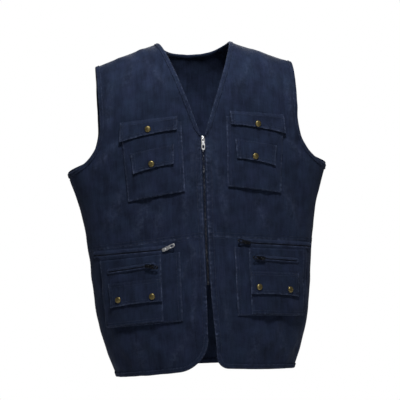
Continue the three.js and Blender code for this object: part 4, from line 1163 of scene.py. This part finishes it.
pocketRows = [("u0", 0), ("u0", 1), ("u1", 0), ("v0", 0)]
flapRows = [("u0", 0), ("u1", 0), ("v0", 0), ("v0", 1), ("v1", 0), ("v1", 1), ("u0", 1), ("u1", 1)]
patchRows = {  # edge, first or second stitch line
    "chestPocket": pocketRows, "chestFlap": flapRows,
    "smallFlap": [row for row in flapRows if row != ("v1", 1)], "hipPocket": pocketRows,
    "hipTopPocket": [("u0", 0), ("u1", 0), ("v0", 0), ("v0", 1)], "hipFlap": flapRows}
seams = {"waist": (3.0, 8.5), "belowWaist": 3, "front": (2.2, 10.5), "shoulder": 3.2, "side": (3, 9),
         "band": (1.8, 7.2), "neck": (1.5, 5.6), "welt": 1.2,  # distances from the seam or edge
         "ends": {"waist": 2, "zip": 6, "front": (8, 6), "shoulder": (9, 11), "side": (12, 11)},
         "samples": 240, "bandSamples": 900, "bandClear": 0.002}
rowEnds = seams["ends"]
v = np.linspace(0, 1, seams["samples"])
t = np.linspace(seams["bandClear"], 1 - seams["bandClear"], seams["bandSamples"])
for name, side in sides.items():
    sign = side["sign"]
    for patch, rows in patchRows.items():
        sewPatch(name, patch + "." + name, sign, rows, patch.endswith("Flap"))
    s = lerp(body["zipHalf"] + rowEnds["waist"], float(sideSeam(body["waist"])) - rowEnds["waist"], v)
    for above in seams["waist"]:
        sewFront(name, s, waistZ(s) + above)
    s = lerp(body["zipHalf"] + rowEnds["waist"], waistZip["from"] - rowEnds["zip"], v)
    sewFront(name, s, waistZ(s) - seams["belowWaist"])
    z = lerp(body["vBottom"] - rowEnds["front"][0], body["hem"] + side["corner"] + rowEnds["front"][1], v)
    for inset in seams["front"]:
        sewFront(name, frontEdge(side, z) + inset, z)
    s = sign * lerp(body["neckHalf"] + rowEnds["shoulder"][0], body["tipHalf"] - rowEnds["shoulder"][1], v)
    sewLine(name, s, 0 * v + seams["shoulder"])
    sewLine("back", s, 0 * v - seams["shoulder"])
    z = lerp(body["underarm"] - rowEnds["side"][0], body["hemBack"] + rowEnds["side"][1], v)
    for inset in seams["side"]:
        s = sideSeam(z) - inset
        sewLine("back", sign * s, -run(s, z))
    for inset in seams["band"]:
        sewBand(name, partial(armholePath, side), -sign, inset, t)
        sewBand(name, partial(hemPath, side), -sign, inset, t)
    s = lerp(pocketZip["from"] - 2, pocketZip["to"] + 2, v[::2]) + side["hipTop"][0]
    for offset in (-1, 1):
        z = pocketZipZ(side, s) + offset * (welt["low"] + seams["welt"])
        sewFront(name, s, z, layerTop("hipTopPocket", side, s, z) + thread["proud"])
for inset in seams["neck"]:
    sewBand("back", neckPath, -1, inset, t)
for inset in seams["band"]:
    sewBand("back", backHemPath, 1, inset, t)
stitches = {group: outward(meshFrom("stitches." + group, *mergeParts(rows)))
            for group, rows in sewnRows.items()}
print("stitched:", {k: len(p.data.polygons) for k, p in stitches.items()})


# Materials: node graphs on the weave map, the wear attribute and Object coordinates
class Graph:
    # a material, with short calls that add nodes: a value is a number, a colour or a node's output
    def __init__(self, name, roughness, metallic=0.0):
        self.material = bpy.data.materials.new(name)
        self.material.use_nodes = True
        self.tree = self.material.node_tree
        self.shader = self.tree.nodes["Principled BSDF"]
        self.set("Roughness", roughness)
        self.set("Metallic", metallic)

    def feed(self, socket, value):
        if isinstance(value, bpy.types.NodeSocket):
            self.tree.links.new(value, socket)
        else:
            socket.default_value = value

    def set(self, socket, value):
        self.feed(self.shader.inputs[socket], value)

    def node(self, kind, inputs=None, **settings):
        n = self.tree.nodes.new("ShaderNode" + kind)
        for key, value in settings.items():
            setattr(n, key, value)
        for key, value in (inputs or {}).items():
            self.feed(n.inputs[key], value)
        return n

    def math(self, operation, *values, clamp=False):
        return self.node("Math", dict(enumerate(values)), operation=operation, use_clamp=clamp).outputs[0]

    def weighted(self, offset, *terms):
        # the offset plus every value times its weight
        for value, weight in terms:
            offset = self.math("MULTIPLY_ADD", value, weight, offset)
        return offset

    def noise(self, vector, scale, detail=2.0, roughness=0.5):
        return self.node("TexNoise", {"Vector": vector, "Scale": scale, "Detail": detail,
                                      "Roughness": roughness}).outputs["Fac"]

    def stretch(self, vector, scale):
        return self.node("Mapping", {"Vector": vector, "Scale": scale}).outputs[0]

    def ramp(self, value, low, high, start=0.0, end=1.0):
        return self.node("MapRange", {"Value": value, "From Min": low, "From Max": high, "To Min": start,
                                      "To Max": end}).outputs[0]

    def mix(self, factor, a, b):
        # sockets 6 and 7 are the two colours, output 2 the mixed one
        return self.node("Mix", {0: factor, 6: a, 7: b}, data_type="RGBA").outputs[2]

    def bump(self, height, strength, distance):
        self.set("Normal", self.node("Bump", {"Height": height, "Strength": strength,
                                              "Distance": distance}).outputs[0])


def rgba(r, g, b):
    return (r, g, b, 1.0)


denimLook = {"dark": rgba(0.0033, 0.006, 0.0158), "mid": rgba(0.0108, 0.0185, 0.0405),
             "midRed": rgba(0.0118, 0.0174, 0.0425), "faded": rgba(0.057, 0.074, 0.128),
             "twill": 820.0, "lean": 0.8,
             # how the noises of the yarns and of the streaks are stretched
             "warp": (520, 48, 1), "weft": (50, 620, 1), "streaks": (120, 13, 1),
             # scale, detail and roughness of the other noises, and the range of each that is used
             "mottle": (34.0, 5.0, 0.6), "patches": (130.0, 5.0, 0.7), "hues": (26.0, 3.0, 0.55),
             "specks": (1400.0, 2.0), "patchRange": (0.45, 0.65), "hueRange": (0.35, 0.65),
             "speckRange": (0.62, 0.8), "toneRange": (0.45, 0.8),
             # offset, then the weights of warp, weft, mottle, rib and streak
             "tone": (-0.21, 0.35, 0.25, 0.55, 0.12, 0.42), "unpatched": 0.1, "speckFade": 0.1,
             "roughness": (0.82, 0.96), "ribHeight": 0.6, "bump": (0.35, 0.0004),
             "sheen": {"Sheen Weight": 0.06, "Sheen Roughness": 0.5, "Sheen Tint": rgba(0.45, 0.55, 0.85),
                       "Specular IOR Level": 0.1}}


def denim(name, fade):
    # warp-faced twill: diagonal ribs, slubs along both yarns, slow mottling, paler where it is worn
    g = Graph(name, 0.9)
    weave = g.node("UVMap", uv_map="weave").outputs[0]
    place = g.node("TexCoord").outputs["Object"]
    across, along = g.node("SeparateXYZ", {0: weave}).outputs[:2]
    ribs = denimLook["twill"] * 2 * math.pi
    diagonal = g.weighted(0.0, (across, ribs), (along, ribs * denimLook["lean"]))
    rib = g.weighted(0.5, (g.math("SINE", diagonal), 0.5))
    warp = g.noise(g.stretch(weave, denimLook["warp"]), 1.0, 3.0)
    weft = g.noise(g.stretch(weave, denimLook["weft"]), 1.0, 3.0)
    streak = g.noise(g.stretch(weave, denimLook["streaks"]), 1.0, 4.0, 0.6)
    mottle = g.noise(place, *denimLook["mottle"])
    speck = g.ramp(g.noise(weave, *denimLook["specks"]), *denimLook["speckRange"])
    offset, *weights = denimLook["tone"]
    tone = g.weighted(offset, *zip((warp, weft, mottle, rib, streak), weights))
    worn = g.node("Attribute", attribute_name="wear").outputs["Fac"]
    patchy = g.ramp(g.noise(place, *denimLook["patches"]), *denimLook["patchRange"])
    least = denimLook["unpatched"]
    rub = g.math("MULTIPLY", worn, g.weighted(least, (patchy, 1 - least)), clamp=True)
    hue = g.ramp(g.noise(place, *denimLook["hues"]), *denimLook["hueRange"])
    middle = g.mix(hue, denimLook["mid"], denimLook["midRed"])
    base = g.mix(g.ramp(tone, *denimLook["toneRange"]), denimLook["dark"], middle)
    pale = g.math("MULTIPLY_ADD", rub, fade, g.math("MULTIPLY", speck, denimLook["speckFade"]), clamp=True)
    g.set("Base Color", g.mix(pale, base, denimLook["faded"]))
    g.set("Roughness", g.ramp(mottle, 0.0, 1.0, *denimLook["roughness"]))
    for socket, value in denimLook["sheen"].items():
        g.set(socket, value)
    g.bump(g.weighted(0.0, (rib, denimLook["ribHeight"]), (warp, 1.0), (weft, 1.0)), *denimLook["bump"])
    return g.material


metalLook = {"tarnish": (420.0, 4.0, 0.6), "fade": 0.35, "scratches": (400, 2600, 2600),
             "scratchRange": (0.2, 0.8), "smoother": 0.1, "rougher": 0.12, "bump": (0.12, 0.0002)}


def metal(name, colour, dark, roughness, bare=0.35):
    # tarnish in slow patches, fading to the bare colour from where the noise is `bare`, and fine scratches
    g = Graph(name, roughness, 1.0)
    place = g.node("TexCoord").outputs["Object"]
    patch = g.ramp(g.noise(place, *metalLook["tarnish"]), bare, bare + metalLook["fade"])
    g.set("Base Color", g.mix(patch, dark, colour))
    scratch = g.noise(g.stretch(place, metalLook["scratches"]), 1.0, 2.0)
    g.set("Roughness", g.ramp(scratch, *metalLook["scratchRange"], roughness - metalLook["smoother"],
                              roughness + metalLook["rougher"]))
    g.bump(scratch, *metalLook["bump"])
    return g.material


yarnLook = {"tones": (120.0, 4.0, 0.6), "toneRange": (0.35, 0.7), "twist": (2600.0, 2.0), "shine": 0.15,
            "bump": (0.3, 0.0002)}


def yarn(name, dark, pale, roughness):
    # dyed thread or coil: slow change of tone and a fine twist
    g = Graph(name, roughness)
    place = g.node("TexCoord").outputs["Object"]
    g.set("Base Color", g.mix(g.ramp(g.noise(place, *yarnLook["tones"]), *yarnLook["toneRange"]), dark, pale))
    g.set("Specular IOR Level", yarnLook["shine"])
    g.bump(g.noise(place, *yarnLook["twist"]), *yarnLook["bump"])
    return g.material


looks = {
    "denim": denim("navyDenim", 0.95), "denim_edge": denim("wornDenim", 0.8),
    "zip_cloth": denim("zipTape", 0.25),
    "snap_brass": metal("antiqueBrass", rgba(0.36, 0.29, 0.125), rgba(0.12, 0.095, 0.04), 0.34),
    "zip_steel": metal("brightSteel", rgba(0.86, 0.86, 0.87), rgba(0.5, 0.5, 0.51), 0.3),
    "zip_dark_metal": metal("darkMetal", rgba(0.2, 0.205, 0.22), rgba(0.011, 0.012, 0.016), 0.3, 0.5)}
threadLook = yarn("navyThread", rgba(0.009, 0.013, 0.027), rgba(0.03, 0.04, 0.076), 0.7)
coilLook = yarn("zipCoil", rgba(0.004, 0.005, 0.01), rgba(0.012, 0.014, 0.022), 0.45)
slotOf = {row["node"]: row["material_slot"] for row in frame["record"]["subparts"]}
bodyOf = {node: label for label, nodes in frame["record"]["behaviour"]["bodies"].items() for node in nodes}
for node, piece in {**pieces, **pullPieces}.items():
    piece.data.materials.append(looks[slotOf[node]])
    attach(piece, bodyOf[node])
    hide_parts(node)
for group, look, slot in ((zipTeeth, coilLook, "zip_cloth"), (welts, looks["denim_edge"], "denim_edge"),
                          (stitches, threadLook, "denim_edge")):
    for piece in group.values():
        piece.data.materials.append(look)
        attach(piece, rigidBody)
print("materials set")


# Light and floor
studio = {"floorDrop": 0.30, "floorHalf": 1.3, "floorSides": 64, "ambient": 0.16}
lamps = [  # name, place, aim, size, watts
    ("keyLight", (-0.02, -0.85, 0.72), (0, 0, -0.3), 0.24, 20.5),
    ("fillLight", (0.5, -2.6, 0.1), (0, 0, -0.35), 1.4, 5),
    ("topLight", (0.2, -0.55, 1.5), (0, 0, -0.3), 0.7, 3),
    ("backLight", (0.3, 2.2, 1.1), (0, 0, -0.35), 1.2, 52)]
scene = bpy.context.scene
scene.view_settings.view_transform = "Standard"
world = bpy.data.worlds.new("studioWorld")
scene.world = world
world.use_nodes = True
sky = world.node_tree
sky.nodes["Background"].inputs[0].default_value = rgba(1, 1, 1)
rays = sky.nodes.new("ShaderNodeLightPath")
level = sky.nodes.new("ShaderNodeMapRange")
level.inputs["To Min"].default_value = studio["ambient"]
sky.links.new(rays.outputs["Is Camera Ray"], level.inputs["Value"])
sky.links.new(level.outputs[0], sky.nodes["Background"].inputs[1])
for label, place, aim, size, watts in lamps:
    data = bpy.data.lights.new(label, "AREA")
    data.shape, data.size, data.energy = "DISK", size, watts
    lamp = bpy.data.objects.new(label, data)
    lamp.location = place
    lamp.rotation_euler = (Vector(aim) - Vector(place)).to_track_quat("-Z", "Y").to_euler()
    scene.collection.objects.link(lamp)
floorZ = cadBox[0][2] - studio["floorDrop"]
ring = circle(studio["floorSides"])
floorEdge = studio["floorHalf"] * np.stack([np.cos(ring), np.sin(ring), 0 * ring], -1) + [0, 0, floorZ]
floorMesh = bpy.data.meshes.new("studioFloor")
floorMesh.from_pydata(floorEdge.tolist(), [], [tuple(range(studio["floorSides"]))])
floorLook = Graph("paleFloor", 0.8)
floorLook.set("Base Color", rgba(0.82, 0.82, 0.82))
floorMesh.materials.append(floorLook.material)
floor = bpy.data.objects.new("studioFloor", floorMesh)
scene.collection.objects.link(floor)
print("stage set")

bpy.context.view_layer.update()
